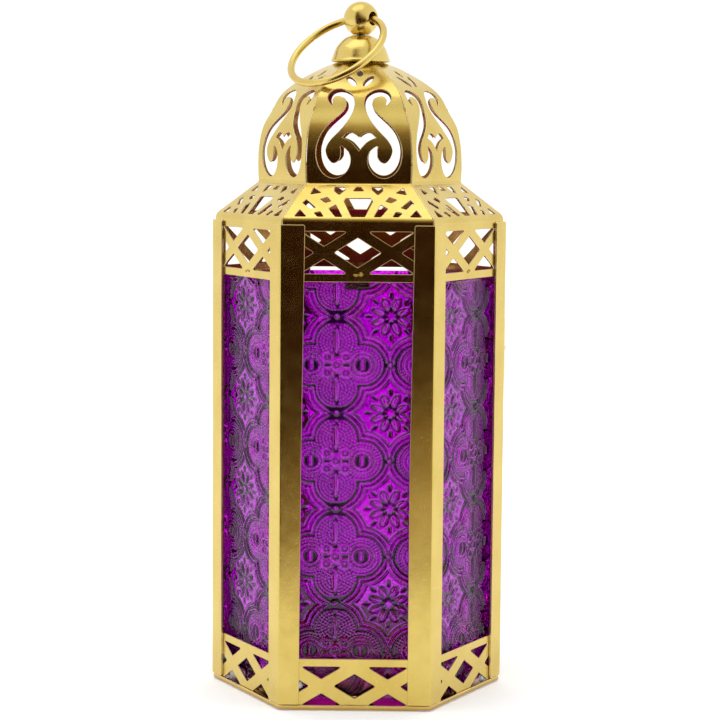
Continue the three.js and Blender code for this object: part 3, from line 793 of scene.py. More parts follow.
def grille_openings(window, bar, radius=0.4):
    """What is left of the window between two pairs of crossing bars."""
    bottom, top = window
    middle, rise = (bottom + top) / 2, (top - bottom) / 2 + BAR_OVERRUN
    slope = math.atan2(rise, GRILLE_PITCH / 2)
    cells = [list(box_outline(-WINDOW_HALF, WINDOW_HALF, bottom, top))]
    for x in (-GRILLE_PITCH / 2, GRILLE_PITCH / 2):
        for lean in (-slope, slope):
            normal = np.array([-math.sin(lean), math.cos(lean)])
            level = np.dot((x, middle), normal)
            cells = [piece for cell in cells for piece in (
                clipped(cell, normal, level + bar / 2), clipped(cell, -normal, -level + bar / 2))]
            cells = [cell for cell in cells if len(cell) > 2]
    out = []
    for cell in cells:
        cell = np.array(cell)
        x, y = cell[:, 0], cell[:, 1]
        if abs(np.sum(x * np.roll(y, -1) - y * np.roll(x, -1))) > 1.2:
            out.append(rounded(cell, radius))
    return out


# ---- sheet-metal pieces
def arc(cx, cy, radius, start, end, steps):
    turn = np.radians(np.linspace(start, end, steps + 1))
    return np.column_stack([cx + radius * np.cos(turn), cy + radius * np.sin(turn)])


def base_tray(material):
    profile = np.vstack([
        [[-1, 0], [PANEL_OUT - TRAY_RADIUS, 0]],
        arc(PANEL_OUT - TRAY_RADIUS, TRAY_RADIUS, TRAY_RADIUS, -90, 0, 8)[1:],
        [[PANEL_OUT, TRAY_RIM + 1]],
    ])
    run = run_along(profile)
    dense = np.linspace(0, run[-1], 700)
    smooth = np.column_stack(looked_up(dense, run, profile))
    tangent = unit(np.gradient(smooth, dense, axis=0))
    fold = PANEL_OUT - TRAY_RADIUS
    wall = fold + TRAY_RADIUS * math.pi / 2 - TRAY_RADIUS  # flat distance of height 0 on a side

    def bend(u, v, depth):
        x, y = u, -v
        sector = np.floor(np.degrees(np.arctan2(y, x)) / 60) * 60 + 30
        c, s = np.cos(np.radians(sector)), np.sin(np.radians(sector))
        out, across = x * c + y * s, y * c - x * s
        at = out + 1
        a, z = looked_up(at, dense, smooth)
        ta, tz = looked_up(at, dense, tangent)
        uneven = 0.04 * wave(across, out + sector, SEEDS["tray"], 22.0)
        depth = depth - np.where(out > fold, uneven, 0)
        a, z = a - depth * tz, z + depth * ta
        return np.column_stack([a * c - across * s, a * s + across * c, z])

    def placed(points, face_angle):
        """Points as (across, distance out) of one face, on the flat pattern."""
        c, s = math.cos(math.radians(face_angle)), math.sin(math.radians(face_angle))
        p = np.asarray(points, float)
        x, y = p[:, 1] * c - p[:, 0] * s, p[:, 1] * s + p[:, 0] * c
        return np.column_stack([x, -y])

    # each flap stands between two round reliefs; the bow is what one relief takes off the floor
    level, low, high = fold + 0.6, wall + 1.5, wall + TRAY_RIM
    rise = level - RELIEF_CENTRE * COS30
    edge = RELIEF_CENTRE * 0.5 - math.sqrt(RELIEF_RADIUS**2 - rise**2)
    spread = 60 + math.degrees(math.asin(rise / RELIEF_RADIUS))
    outline, holes = [], []
    flap = [(edge, level), (edge, low), (TRAY_SIDE_HALF, low), (TRAY_SIDE_HALF, high)]
    flap = [(-x, y) for x, y in flap] + flap[::-1]
    bow = arc(RELIEF_CENTRE, 0, RELIEF_RADIUS, 180 + spread, 180 - spread, 20)
    for angle in FACE_ANGLES:
        outline.append(placed(flap, angle))
        outline.append(turn_z(np.pad(bow, ((0, 0), (0, 1))), angle + 30)[:, :2] * (1, -1))
        for opening in grille_openings(LOW_WINDOW, LOW_BAR):
            holes.append(placed(np.column_stack([opening[:, 0], wall + opening[:, 1]]), angle))
        holes.append(placed(circle(0, PANEL_IN - VENT_INSET, VENT_RADIUS), angle))
    rows = [fold + TRAY_RADIUS * math.pi / 2 * k / 5 for k in range(6)]
    across = np.arange(-TRAY_SIDE_HALF + 0.8, TRAY_SIDE_HALF, 1.5)
    folds = [(x, row) for row in rows for x in across]
    folds = np.vstack([placed(folds, angle) for angle in FACE_ANGLES])
    shell = Shell()
    shell.sheet(rounded(np.vstack(outline), 0.5), holes, bend, grid=2.2, extra=folds)
    shell.build("base_tray_sheet", material, ["base_tray"])


def base_hem(material):
    """The folded hem around the foot of the tray; the posts stand on it."""
    apothem = PANEL_OUT + HEM_OUT
    turns = [math.radians(corner) for corner in CORNERS.values()]
    corners = [(apothem / COS30 * math.cos(a), apothem / COS30 * math.sin(a)) for a in turns]
    path = resampled(rounded(corners, 2.2, 8), 1.6)
    b, t, (low, high) = 0.18, SHEET, HEM
    # depth, height and edge mark: painted shade at the foot, a painted highlight along the top
    section = np.array([
        (b, low, -1), (0.05, low + 0.05, -1), (0, low + b, -0.9), (0, high - b, 0),
        (0.05, high - 0.05, 1), (b, high, 1), (t - b, high, 0.6), (t, high - b, 0),
        (t, low + b, 0), (t - b, low, -1),
    ])
    out, _ = loop_normals(path)
    slope = unit((np.roll(section, -1, 0) - np.roll(section, 1, 0))[:, :2])
    points, normals = [], []
    for (x, y), (nx, ny) in zip(path, out):
        for (d, z, _), (sd, sz) in zip(section, slope):
            points.append((x * (1 - d / apothem), y * (1 - d / apothem), z))
            normals.append((nx * sz, ny * sz, sd))
    shell = Shell()
    shell.add(np.array(points), unit(np.array(normals)), net(len(path), len(section)),
              np.tile(section[:, 2], len(path)))
    shell.build("base_hem", material)


def corner_posts(material):
    """Two wings about a rounded bend; u runs from the right wing to the left one."""
    wing = np.array([-0.5, COS30])
    tip = np.array([SIDE, 0.0])
    centre = tip[0] - POST_RADIUS / COS30
    path = np.vstack([
        [tip + wing * (1, -1) * (POST_FLANGE + 1)],
        arc(centre, 0, POST_RADIUS, -30, 30, 8),
        [tip + wing * (POST_FLANGE + 1)],
    ])
    run = run_along(path)
    dense = np.linspace(0, run[-1], 500)
    smooth = np.column_stack(looked_up(dense, run, path))
    tangent = unit(np.gradient(smooth, dense, axis=0))
    half = run[-1] / 2
    length = half - 1
    lost = POST_FLANGE - length
    straight = ((0, POST_FOOT), (0, POST_TOP))
    levels = np.arange(POST_FOOT + 1, POST_TOP, 1.6)
    bends = np.array([(u, v) for v in levels for u in np.linspace(-0.8, 0.8, 8)])

    for number, (corner, angle) in enumerate(CORNERS.items()):
        def bend(u, v, depth, seed=SEEDS["posts"] + number):
            at = u + half
            x, y = looked_up(at, dense, smooth)
            tx, ty = looked_up(at, dense, tangent)
            depth = depth - 0.035 * wave(u * 0.4, v, seed, 30.0)
            return np.column_stack([x - depth * ty, y + depth * tx, v])

        holes = []
        if corner == "right":
            holes.append(circle(SIDE / 2 + BUTTON_X - lost, BUTTON_Z, RIVET_RADIUS + GAP))
        left, right = (POST_LEAN.get((corner, side), straight) for side in ("left", "right"))
        outline = [(length + more, z) for more, z in left]
        outline += [(-length - more, z) for more, z in right[::-1]]
        shell = Shell()
        shell.sheet(rounded(outline, 0.7), holes, bend, POST_VISIBLE, grid=2.4, bevel=0.16,
                    turn=angle, extra=bends)
        shell.build(f"post_sheet_{corner}", material, [f"corner_post_{corner}"])


def roof_profile():
    eave = [(0, 162.4), (0, 163.1), (0.3, 164.2), (1.1, 165.2), (1.9, 165.85)]
    eave = smooth_line([(PANEL_OUT - inwards, z) for inwards, z in eave], 6)
    foot, up = np.array(DOME_FOOT), np.array([0, 1])
    slope = unit(foot - EAVE)
    fillet = [foot - slope * 0.8, foot - slope * 0.25, foot + up * 0.25, foot + up * 0.8]
    petal = smooth_line([(r * COS30, z) for r, z in DOME_CORNERS], 12, 0.0)
    petal = petal[petal[:, 1] > DOME_FOOT[1] + 1.0]
    line = np.vstack([[[PANEL_OUT, ROOF_FOOT - 1]], eave, fillet, petal])
    run = run_along(line)
    dense = np.arange(0, run[-1], 0.2)
    return np.column_stack(looked_up(dense, run, line)), dense


def roof_panels(material):
    profile, run = roof_profile()
    foot_run = np.interp(DOME_FOOT[1], profile[:, 1], run)
    slope_length = math.dist(EAVE, DOME_FOOT)
    top = run[-1] - 0.2
    stations = np.concatenate([[1.0], np.arange(4, top, 1.2), [top]])
    distance = np.interp(stations, run, profile[:, 0])
    half = (distance - GAP) * TAN30
    side = np.column_stack([half, stations])
    outline = np.vstack([side, (side * (-1, 1))[::-1]])

    holes = [p + (0, 1 - ROOF_FOOT) for p in grille_openings(HIGH_WINDOW, HIGH_BAR)]
    for points in SKIRT_MIDDLE + SKIRT_SIDE + [mirrored(p) for p in SKIRT_SIDE]:
        holes.append(rounded(points, 0.4) + (0, foot_run - slope_length))
    heart = smooth_line(HEART[:5], 5)[:-1].tolist() + smooth_line(HEART[4:], 5).tolist()
    flat = [rounded(stroke(SCROLL), 0.2), oval(*LEAF)]
    flat += [mirrored(p) for p in flat]
    flat += [np.vstack([heart, mirrored(heart[1:-1])]), oval(*BUD)]
    holes += [points + (0, foot_run) for points in flat]

    # rows across the eave and across the foot of the dome
    folds = ((19.6, 24.4, 24.6), (foot_run - 1.6, foot_run + 1.6, 17.4))
    bends = np.array([(x, s) for low, high, wide in folds
                      for s in np.arange(low, high, 0.4) for x in np.arange(-wide, wide, 1.3)])
    for number, face in enumerate(FACES):
        bend = along_profile(profile, SEEDS["roof"] + number, 0.05)
        shell = Shell()
        shell.sheet(outline, holes, bend, grid=1.4, step=0.6, turn=face_turn(face), extra=bends)
        shell.build(f"roof_sheet_{face}", material, [f"roof_panel_{face}"])


# ---- pressed glass
CELL = (34.0, 32.0)
LOBE = 7.7  # radius of a lobe, and how far up its centre is
SIDE_LOBE = 8.2  # how far out the centre of a side lobe is
PEBBLE = 1.02
GROUND = 0.3  # level of the plain ground between the ornaments
RELIEF = 0.95
RIM_PAINTED_SHADE = 0.8  # painted shade on the cut rim of a pane
DARK_FROM, DARK_SPAN = 0.33, 0.23  # painted shade fills the pattern below this level, over this span
STEEP_FROM, STEEP_GAIN, SUNK_GAIN = 0.4, 0.3, 1.15  # how much painted shade slopes and grooves get
GLASS_STEP, QUICK_STEP = 0.26, 0.5
GLASS_BORDER = 0.35


def cord(distance, half, height, power=0.7):
    return height * np.clip(1 - (distance / half) ** 2, 0, 1) ** power


def beads(radius, angle, size):
    """Round pebbles set in rings about a centre."""
    ring = np.round(radius / size)
    at = ring * size
    count = np.maximum(np.round(2 * math.pi * at / size), 1)
    turn = angle * count / (2 * math.pi) + 0.5 * (ring % 2)
    off = (turn - np.round(turn)) * 2 * math.pi / count * at
    return np.clip(1 - ((radius - at) ** 2 + off**2) / (0.48 * size) ** 2, 0, 1) ** 0.8


def petals(radius, angle, count, centre, long, wide, offset=0.0):
    step = 2 * math.pi / count
    turn = angle + offset * step
    turn = turn - np.round(turn / step) * step
    along, side = radius * np.cos(turn), radius * np.sin(turn)
    return np.clip(1 - ((along - centre) / long) ** 2 - (side / wide) ** 2, 0, 1) ** 0.6


def relief(x, z, shift):
    """Height of the pattern, from 0 in its grooves to about 1 on its cords."""
    px = np.mod(x - shift[0] + CELL[0] / 2, CELL[0]) - CELL[0] / 2
    pz = np.mod(z - shift[1] + CELL[1] / 2, CELL[1]) - CELL[1] / 2
    ax, az = np.abs(px), np.abs(pz)
    side_r, side_a = np.hypot(ax - SIDE_LOBE, pz), np.arctan2(pz, ax - SIDE_LOBE)
    top_r, top_a = np.hypot(px, az - LOBE), np.arctan2(az - LOBE, px)
    in_side = side_r < top_r
    radius = np.where(in_side, side_r, top_r)
    angle = np.where(in_side, side_a, top_a)
    d = radius - LOBE
    height = np.full(np.shape(x), GROUND)
    for at, half, rise in ((0.0, 0.5, 0.85), (1.45, 0.6, 0.95)):
        height = np.maximum(height, cord(d - at, half, rise))
    for at, half in ((-0.75, 0.28), (0.72, 0.22), (2.35, 0.2)):
        height = np.where(np.abs(d - at) < half, 0.0, height)
    # pebbles fill the lobes
    height = np.where(d < -1.0, 0.62 * beads(radius, angle, PEBBLE), height)
    # a sunk crescent where a lobe meets the next medallion, which the glass fills with painted
    # shade
    along, across = np.where(in_side, ax - SIDE_LOBE, az - LOBE), np.where(in_side, pz, px)
    crescent = np.where(in_side, 0.5, 1.15) * (1 - (across / 4.4) ** 2) - np.abs(d + 0.55)
    height = np.where((along > 0) & (crescent > 0), 0.0, height)
    # a smooth spindle in the upper and lower lobes, a disc with a bar in the side ones
    spindle = 1 - (px / 0.8) ** 2 - ((az - LOBE - 0.3) / 4.0) ** 2
    raised = np.where(spindle > 0, 0.3 + 0.65 * np.clip(spindle, 0, 1), 0.0)
    height = np.where((~in_side) & (spindle > -0.9), raised, height)
    bar = np.clip(1 - ((ax - SIDE_LOBE) / 0.6) ** 2, 0, 1) * (np.abs(pz) < 1.8)
    height = np.where(in_side & (side_r < 2.3), 0.85 * bar ** 0.6, height)
    for at in (2.7, 4.1):
        height = np.where(in_side & (np.abs(side_r - at) < 0.32), 0.75, height)
    # middle of the medallion: a small ring with four curls and two sunk lozenges, which take
    # painted shade
    middle = np.hypot(px, pz)
    height = np.where(middle < 2.4, GROUND, height)
    height = np.maximum(height, cord(middle - 1.5, 0.42, 0.8))
    lozenge = np.abs(ax - 3.0) / 1.3 + np.abs(pz) / 1.2 < 1
    height = np.where((np.abs(middle - 0.8) < 0.2) | lozenge, 0.0, height)
    curl = np.hypot(ax - 2.9, az - 2.6)
    height = np.where(curl < 2.0, np.where(np.abs(curl - 0.7) < 0.25, 0.0, GROUND), height)
    height = np.maximum(height, cord(curl - 1.35, 0.42, 0.85))
    # knots where neighbouring medallions meet
    for kx, kz in ((CELL[0] / 2, 0.0), (0.0, CELL[1] / 2)):
        knot = np.hypot(ax - kx, az - kz)
        height = np.where(knot < 1.3, 0.1, height)
        height = np.maximum(height, cord(knot, 0.75, 0.95))
    # a flower between four medallions
    qx, qz = ax - CELL[0] / 2, az - CELL[1] / 2
    r, a = np.hypot(qx, qz), np.arctan2(qz, qx)
    height = np.where(petals(r, a, 8, 4.2, 2.5, 1.3, 0.5) > 0, 0.0, height)
    height = np.maximum(height, 0.75 * petals(r, a, 8, 4.2, 1.95, 0.85, 0.5))
    for centre, long, wide in ((7.0, 1.3, 0.6), (1.8, 0.75, 0.42)):
        height = np.where(petals(r, a, 8, centre, long, wide) > 0, 0.0, height)
    return height


def softened(values, passes):
    for _ in range(passes):
        padded = np.pad(values, 1, mode="edge")
        values = (padded[1:-1, :-2] + 2 * padded[1:-1, 1:-1] + padded[1:-1, 2:]) / 4
        padded = np.pad(values, 1, mode="edge")
        values = (padded[:-2, 1:-1] + 2 * padded[1:-1, 1:-1] + padded[2:, 1:-1]) / 4
    return values


def glass_pane(name, node, body, face, half, outer, shift, material, mitre=0.0):
    low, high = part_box(node)
    z0, z1 = low[2] / MM, high[2] / MM
    step = GLASS_STEP
    border = GLASS_BORDER
    nx = int(2 * (half - border) / step) + 1
    nz = int((z1 - z0 - 2 * border) / step) + 1
    xs = np.linspace(-half + border, half - border, nx)
    zs = np.linspace(z0 + border, z1 - border, nz)
    x, z = np.meshgrid(xs, zs)
    pattern = relief(x, z, shift)
    height = softened(pattern, 1)
    sunk = softened(np.clip((DARK_FROM - pattern) / DARK_SPAN, 0, 1), 1)
    fade = np.minimum.reduce([x + half, half - x, z - z0, z1 - z]) - border
    height = GROUND + (height - GROUND) * np.clip(fade, 0, 1)
    rise = height * RELIEF
    dz, dx = np.gradient(rise, zs, xs)
    y = -(outer - RELIEF + rise)
    stretch = 1 + mitre / half
    front = np.column_stack([x.ravel() * stretch, y.ravel(), z.ravel()])
    normals = unit(np.column_stack([-dx.ravel(), -np.ones(x.size), -dz.ravel()]))
    # painted shade on the relief's slopes and in its sunk grooves
    painted_glass_shade = STEEP_GAIN * (np.hypot(dx, dz) - STEEP_FROM) + SUNK_GAIN * sunk
    painted_glass_shade = np.clip(painted_glass_shade, 0, 1).ravel()
    index = np.arange(nx * nz).reshape(nz, nx)
    quads = [index[:-1, :-1], index[:-1, 1:], index[1:, 1:], index[1:, :-1]]
    faces = np.stack(quads, axis=-1).reshape(-1, 4)
    shell = Shell()
    shell.add(front, normals, faces.tolist(), painted_glass_shade)
    # the back and the rim share the front's border points
    border_index = np.concatenate(
        [index[0, :-1], index[:-1, -1], index[-1, :0:-1], index[:0:-1, 0]])
    loop = front[border_index][:, [0, 2]] / (stretch, 1)
    ends = ((xs[0], xs[-1]), (zs[0], zs[-1]))
    out = np.column_stack([1.0 * (loop[:, k] >= last - 1e-6) - (loop[:, k] <= first + 1e-6)
                           for k, (first, last) in enumerate(ends)])
    rim = loop + out * border
    count = len(loop)
    inner = outer - GLASS_THICK
    base = shell.count
    rim_normals = unit(np.column_stack([out[:, 0], np.zeros(count), out[:, 1]]))
    front_level = outer - RELIEF * 0.7 - border
    flat, triangles = filled([loop], grid=8.0)
    # the rim rings carry painted shade
    for wider, level in ((stretch, front_level), (1, inner + border)):
        around = np.column_stack([rim[:, 0] * wider, np.full(count, -level), rim[:, 1]])
        shell.add(around, rim_normals, [], np.full(count, RIM_PAINTED_SHADE))
    shell.add(np.column_stack([flat[:, 0], np.full(len(flat), -inner), flat[:, 1]]),
              np.tile([0.0, 1.0, 0.0], (len(flat), 1)), [])
    rows = [border_index] + [base + k * count + np.arange(count) for k in range(3)]
    after = np.roll(np.arange(count), -1)
    for upper, lower in zip(rows[:-1], rows[1:]):
        shell.faces += np.stack([upper, lower, lower[after], upper[after]], axis=-1).tolist()
    shell.faces += (triangles[:, ::-1] + base + 2 * count).tolist()
    shell.points = [turn_z(np.vstack(shell.points), face_turn(face))]
    shell.normals = [turn_z(np.vstack(shell.normals), face_turn(face))]
    shell.build(name, material, [node], body, mark="painted_glass_shade")


def glass(material):
    shifts = {"front": (-6.4, 116.0), "front_left": (11.0, 118.0), "front_right": (9.5, 115.0),
              "rear": (2.0, 112.0), "rear_left": (-12.0, 109.0)}
    for face, shift in shifts.items():
        glass_pane(f"pressed_pane_{face}", f"glass_pane_{face}", "lantern", face, GLASS_HALF,
                   GLASS_OUT, shift, material, GLASS_MITRE)
    glass_pane("pressed_pane_door", "door_glass", "door", DOOR_FACE, DOOR_GLASS_HALF,
               DOOR_IN - GAP, (0.0, 112.0), material)


# ---- door, hinges and turn button
def door_frame(material):
    shell = Shell()
    outer = box_outline(-DOOR_HALF, DOOR_HALF, *DOOR_Z, 1.2)
    opening = box_outline(-DOOR_OPEN_HALF, DOOR_OPEN_HALF, *DOOR_OPEN_Z, 0.8)
    shell.sheet(outer, [opening], flat_face(DOOR_OUT, 0.03), grid=2.4, turn=face_turn(DOOR_FACE))
    shell.build("door_sheet", material, ["door_frame"], "door")


def standing(x, distance, face):
    """Basis and origin that stand a turned body upright on a face."""
    out, across = axes(FACES[face])
    return np.eye(3), out * distance + across * x


def pointing(x, z, face):
    """Basis and origin that point a turned body's +Z out of a face."""
    out, across = axes(FACES[face])
    return (across, (0, 0, 1), out), across * x + (0, 0, z)


def hinges(fittings, plain):
    turn = face_turn(DOOR_FACE)
    step = KNUCKLE_LENGTH + GAP
    reach = 1.5 * KNUCKLE_LENGTH + GAP
    for level, z in HINGE_Z.items():
        leaves = (
            ("door", "door", [z], DOOR_OUT, (HINGE_X - LEAF_REACH - 1, HINGE_X - LEAF_START), 1.3),
            ("post", "lantern", [z - step, z + step], POST_OUT,
             (HINGE_X + LEAF_START, HINGE_X + LEAF_REACH), LEAF_REACH - LEAF_START - 1.25),
        )
        for side, body, knuckles, behind, ends, rivet in leaves:
            level_out = behind + GAP + SHEET
            shell = Shell()
            outline = box_outline(*ends, z - reach, z + reach, 0.6)
            shell.sheet(outline, [], flat_face(level_out, 0.0), grid=1.5, bevel=0.15, turn=turn)
            for at in knuckles:
                half = KNUCKLE_LENGTH / 2
                knuckle = box_outline(PIN_RADIUS + GAP, KNUCKLE_RADIUS, at - half, at + half)
                profile = rounded(knuckle, 0.2, 3)
                shell.turned(profile, 28, standing(HINGE_X, HINGE_OUT, DOOR_FACE), closed=True)
            for at in (z - LEAF_RIVET_Z, z + LEAF_RIVET_Z):
                head = [(0.02, 0.28), (0.35, 0.25), (0.6, 0.14), (0.72, -0.02), (0.72, -0.12)][::-1]
                place = pointing(ends[0] + rivet, at, DOOR_FACE)
                shell.turned([(r, level_out + h) for r, h in head], 16, place)
            shell.build(f"hinge_{side}_{level}", fittings, [f"hinge_leaf_{side}_{level}"], body)
        pin = Shell()
        top, bottom = z + reach + GAP, z - reach - GAP
        profile = [(0.05, bottom - 0.6), (0.4, bottom - 0.55), (PIN_RADIUS, bottom - 0.35),
                   (PIN_RADIUS, top), (1.15, top), (1.3, top + 0.15), (1.25, top + 0.45),
                   (0.9, top + 0.7), (0.05, top + 0.8)]
        pin.turned(profile, 24, standing(HINGE_X, HINGE_OUT, DOOR_FACE))
        pin.build(f"hinge_pin_turned_{level}", plain, [f"hinge_pin_{level}"])


def latch(fittings, plain):
    turn = face_turn(DOOR_FACE)
    straight = (BUTTON_LENGTH - BUTTON_WIDTH) / 2
    outline = np.vstack([
        arc(BUTTON_X, BUTTON_Z + straight, BUTTON_WIDTH / 2, 0, 180, 10),
        arc(BUTTON_X, BUTTON_Z - straight, BUTTON_WIDTH / 2, 180, 360, 10),
    ])

    def bend(u, v, depth):
        """A shallow pressed rib along each arm."""
        away = np.abs(v - BUTTON_Z)
        rib = np.clip(1 - ((u - BUTTON_X) / 0.9) ** 2, 0, 1) * np.clip((away - 2.4) / 0.8, 0, 1)
        rib = rib * np.clip((straight - away) / 0.8, 0, 1)
        return np.column_stack([u, -(BUTTON_IN + SHEET - depth + 0.3 * rib), v])

    shell = Shell()
    hole = circle(BUTTON_X, BUTTON_Z, RIVET_RADIUS + GAP)
    shell.sheet(outline, [hole], bend, grid=0.45, step=0.4, bevel=0.15, turn=turn)
    shell.build("turn_button_pressed", fittings, ["turn_button"], "turn_button")
    head, tail = BUTTON_IN + SHEET + GAP, POST_OUT - SHEET - GAP
    rivet = Shell()
    profile = [(0.05, tail - 0.8), (0.7, tail - 0.75), (1.3, tail - 0.5), (1.5, tail - 0.1),
               (1.45, tail), (RIVET_RADIUS, tail), (RIVET_RADIUS, head), (RIVET_HEAD, head),
               (1.15, head + 0.14), (0.75, head + 0.27), (0.05, head + 0.32)]
    rivet.turned(profile, 24, pointing(BUTTON_X, BUTTON_Z, DOOR_FACE))
    rivet.build("latch_rivet_turned", plain, ["latch_rivet"])
    washer = Shell()
    inner = POST_OUT + GAP
    ring = box_outline(RIVET_RADIUS + GAP, RIVET_HEAD + 0.4, inner, inner + SHEET)
    profile = rounded(ring, 0.14, 3)
    washer.turned(profile, 24, pointing(BUTTON_X, BUTTON_Z, DOOR_FACE), closed=True)
    washer.build("latch_washer_turned", fittings, ["latch_washer"])


# ---- crown
def crown_cap(material):
    bell = smooth_line(CAP_BELL[1:], 6)
    lip = smooth_line([(9.3, 216.55), (9.8, 216.45), (10.2, 216.7), CAP_BELL[1]], 5)[:-1]
    outer = np.vstack([lip, bell])
    bore = SCREW_RADIUS + GAP
    top = np.array([(3.3, CAP_TOP), (bore, CAP_TOP), (bore, CAP_TOP - 1.0)])
    inner = (bell - (1.0, 0.6))[::-1]
    inner = inner[(inner[:, 0] > bore + 0.4) & (inner[:, 1] > 217.0)]
    shell = Shell()
    shell.turned(np.vstack([outer, top, inner]), 96, closed=True)
    shell.build("crown_cap_spun", material, ["crown_cap"])


def solid_from(shell):
    mesh = bpy.data.meshes.new("cutter")
    mesh.from_pydata((np.vstack(shell.points) * MM).tolist(), [], shell.faces)
    made = bpy.data.objects.new("cutter", mesh)
    bpy.context.scene.collection.objects.link(made)
    return made


def finial_ball(material):
    bottom = CAP_TOP + GAP
    start = math.degrees(math.asin(NECK_RADIUS / BALL_RADIUS))
    sphere = arc(0, BALL_Z, BALL_RADIUS, start - 90 + 4, 90, 40)
    neck = [(0.05, bottom), (NECK_RADIUS - 0.3, bottom), (NECK_RADIUS, bottom + 0.1),
            (NECK_RADIUS + 0.12, bottom + 0.25)]
    sphere[-1, 0] = 0.05
    shell = Shell()
    shell.turned(np.vstack([neck, sphere]), 96)
    ball = shell.build("finial_ball_turned", material, ["finial_ball"])
    along, side = axes(EYE_ANGLE)
    # the cross hole flares where it meets the ball's surface
    reach = math.sqrt(BALL_RADIUS**2 - EYE_RADIUS**2)
    flare = ((0.9, 0.6), (0.55, 0.15), (0.22, -0.15), (0.05, -0.5), (0, -0.9))
    half = [(EYE_RADIUS + wider, reach + further) for wider, further in flare]
    profile = [(r, -h) for r, h in half] + half[::-1]
    drill = Shell()
    drill.turned(profile, 64, ((side, (0, 0, 1), along), (0, 0, BALL_Z)))
    cutter = solid_from(drill)
    cut = ball.modifiers.new("eye", "BOOLEAN")
    cut.operation = "DIFFERENCE"
    cut.solver = "EXACT"
    cut.object = cutter
    graph = bpy.context.evaluated_depsgraph_get()
    mesh = bpy.data.meshes.new_from_object(ball.evaluated_get(graph))
    ball.modifiers.clear()
    ball.data = mesh
    mesh.set_sharp_from_angle(angle=math.radians(50))
    bpy.data.objects.remove(cutter)


def hanging_ring(material):
    lean = math.radians(RING_LEAN)
    axis, side = axes(EYE_ANGLE)
    towards = -side * math.cos(lean) - np.array([0, 0, math.sin(lean)])
    facing = np.cross(axis, towards)
    centre = towards * (RING_RADIUS - RING_LIFT) + (0, 0, BALL_Z)
    around, across = 220, 28
    points, normals = [], []
    for i in range(around):
        turn = 2 * math.pi * i / around
        spoke = axis * math.cos(turn) + towards * math.sin(turn)
        gap = (turn - math.radians(SEAM_ANGLE)) * RING_RADIUS
        dip = SEAM_DIP * math.exp(-(gap / SEAM_HALF) ** 2)
        radius = WIRE_RADIUS * (1 - dip) + 0.01 * math.sin(3 * turn)
        for j in range(across):
            swing = 2 * math.pi * j / across
            out = spoke * math.cos(swing) + facing * math.sin(swing)
            points.append(centre + spoke * RING_RADIUS + out * radius)
            normals.append(out)
    shell = Shell()
    shell.add(np.array(points), np.array(normals), net(around, across))
    shell.build("hanging_ring_wire", material, ["hanging_ring"], "ring")


# ---- solder, weld and glue
def blob(shell, centre, across, upward, outward, sizes, seed):
    """A small irregular dome: sizes are its half width, half height and rise."""
    rings, sides = 9, 18
    rng = np.random.default_rng(seed)
    waves = rng.uniform(-0.12, 0.12, 4)
    phases = rng.uniform(0, 2 * math.pi, 4)
    points = []
    for i in range(rings + 1):
        fall = math.pi / 2 * i / rings
        for j in range(sides):
            turn = 2 * math.pi * j / sides
            wide = 1 + sum(w * math.cos((k + 2) * turn + p)
                           for k, (w, p) in enumerate(zip(waves, phases)))
            r = math.sin(fall) * wide
            points.append(np.array(centre) + np.array(across) * (r * sizes[0] * math.cos(turn))
                          + np.array(upward) * (r * sizes[1] * math.sin(turn))
                          + np.array(outward) * (sizes[2] * math.cos(fall)))
    points = np.array(points)
    faces = net(rings + 1, sides, closed=False)
    faces.append([rings * sides + j for j in range(sides)][::-1])
    middle = np.array(centre) - np.array(outward) * sizes[2] * 0.2
    shell.add(points, unit(points - middle), faces)


def solder(material):
    """Tack beads on the hips of the dome, and a weld scar on each upper grille."""
    profile, _ = roof_profile()
    shell = Shell()
    seed = SEEDS["solder"]
    for corner in CORNERS.values():
        for z, size, tilt in ((200.2, 1.0, 0.35), (182.0, 0.8, 0.0)):
            out, side = axes(corner)
            radius = np.interp(z, profile[:, 1], profile[:, 0]) / COS30 - 0.3
            centre = out * radius + (0, 0, z)
            out = out + (0, 0, tilt)
            out = out / np.linalg.norm(out)
            sizes = (0.5 * size, 0.7 * size, 0.2 * size)
            blob(shell, centre, side, np.cross(out, side), out, sizes, seed)
            seed += 1
    for angle in FACES.values():
        out, side = axes(angle)
        rng = np.random.default_rng(seed)
        for _ in range(3):
            x, z = rng.uniform(-1.1, 1.1), HIGH_WINDOW[0] - 0.2 + rng.uniform(-0.5, 0.5)
            centre = out * (PANEL_OUT - 0.05) + side * x + (0, 0, z)
            blob(shell, centre, side, (0, 0, 1), out, (rng.uniform(0.5, 0.9), 0.5, 0.22), seed)
            seed += 1
    shell.build("solder_beads", material)


GLUE_SINK = 0.25  # how deep a dab sits in the face of its pane
GLUE_RISE = 1.15


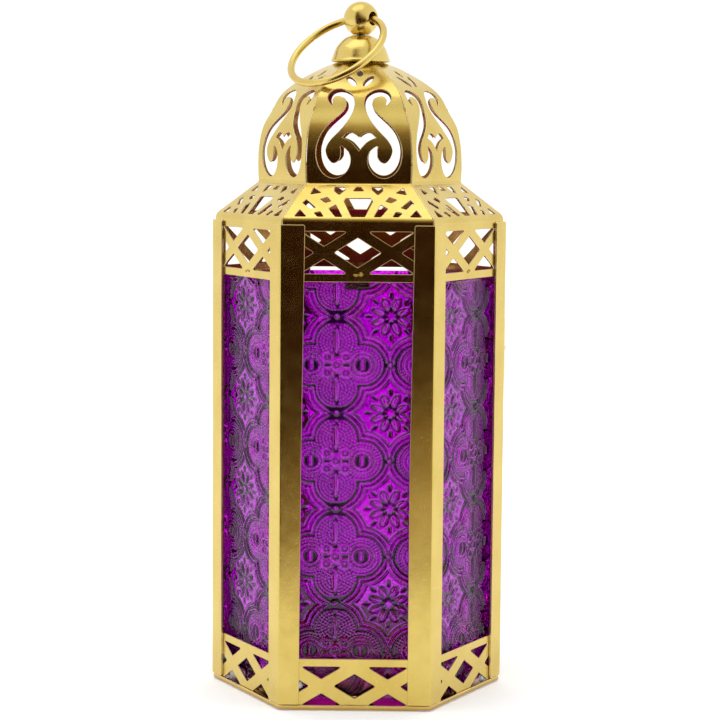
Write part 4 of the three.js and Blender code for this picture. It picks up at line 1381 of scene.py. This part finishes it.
def glue_dabs(material):
    """Dabs that hold the panes in the lower corners."""
    shell = Shell()
    dabs = {  # x, z, half width and half height
        "front": [(-19.6, 8.2, 2.3, 2.2)],
        "front_right": [(-15.2, 4.1, 2.4, 1.9), (17.0, 2.9, 2.2, 1.9)],
        "front_left": [(-15.8, 5.4, 5.2, 3.4), (-20.6, 9.2, 1.7, 2.2)],
        "rear": [(19.8, 6.5, 2.4, 2.8)],
        "rear_left": [(-20.0, 6.0, 2.3, 2.6), (20.2, 7.0, 2.1, 2.6)],
    }
    seed = SEEDS["glue"]
    for face, places in dabs.items():
        out, side = axes(FACES[face])
        for x, z, wide, tall in places:
            centre = out * (GLASS_OUT - GLUE_SINK) + side * x + (0, 0, z)
            blob(shell, centre, side, (0, 0, 1), out, (wide, tall, GLUE_RISE), seed)
            seed += 1
    shell.build("glue_dabs", material)


def keep_with(material, nodes, bevel):
    """CAD pieces whose shape is right: a better finish and softened edges."""
    for node in nodes:
        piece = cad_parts[node]
        piece.data.materials.clear()
        piece.data.materials.append(material)
        soft = piece.modifiers.new("edges", "BEVEL")
        soft.width = bevel * MM
        soft.segments = 2
        soft.limit_method = "ANGLE"
        soft.angle_limit = math.radians(40)
        soft.harden_normals = False


# ---- build
add_camera()
add_stage()

sheet_gold = gold("gold_sheet", (0.70, 0.53, 0.15), (0.63, 0.46, 0.11), 0.20)
fitting_gold = gold("gold_fittings", (0.60, 0.43, 0.13), (0.47, 0.32, 0.09), 0.28)
wire_gold = gold("gold_wire", (0.73, 0.56, 0.17), (0.64, 0.46, 0.12), 0.22, grain=0.004)
plain_steel = steel("steel")
pane_glass = violet_glass("violet_glass")
pane_glue = glue("pane_glue")

base_tray(sheet_gold)
base_hem(sheet_gold)
corner_posts(sheet_gold)
roof_panels(sheet_gold)
glass(pane_glass)
door_frame(sheet_gold)
hinges(fitting_gold, plain_steel)
latch(fitting_gold, plain_steel)
crown_cap(wire_gold)
finial_ball(wire_gold)
hanging_ring(wire_gold)
solder(fitting_gold)
glue_dabs(pane_glue)

levels = ("low", "high")
clips = [f"glass_clip_{level}_{face}" for face in FACES if face != DOOR_FACE for level in levels]
tabs = [f"door_tab_{side}_side_{level}" for side in ("hinge", "latch") for level in levels]
keep_with(fitting_gold, clips + tabs, 0.12)
keep_with(plain_steel, ["finial_screw", "crown_washer", "crown_nut"], 0.15)
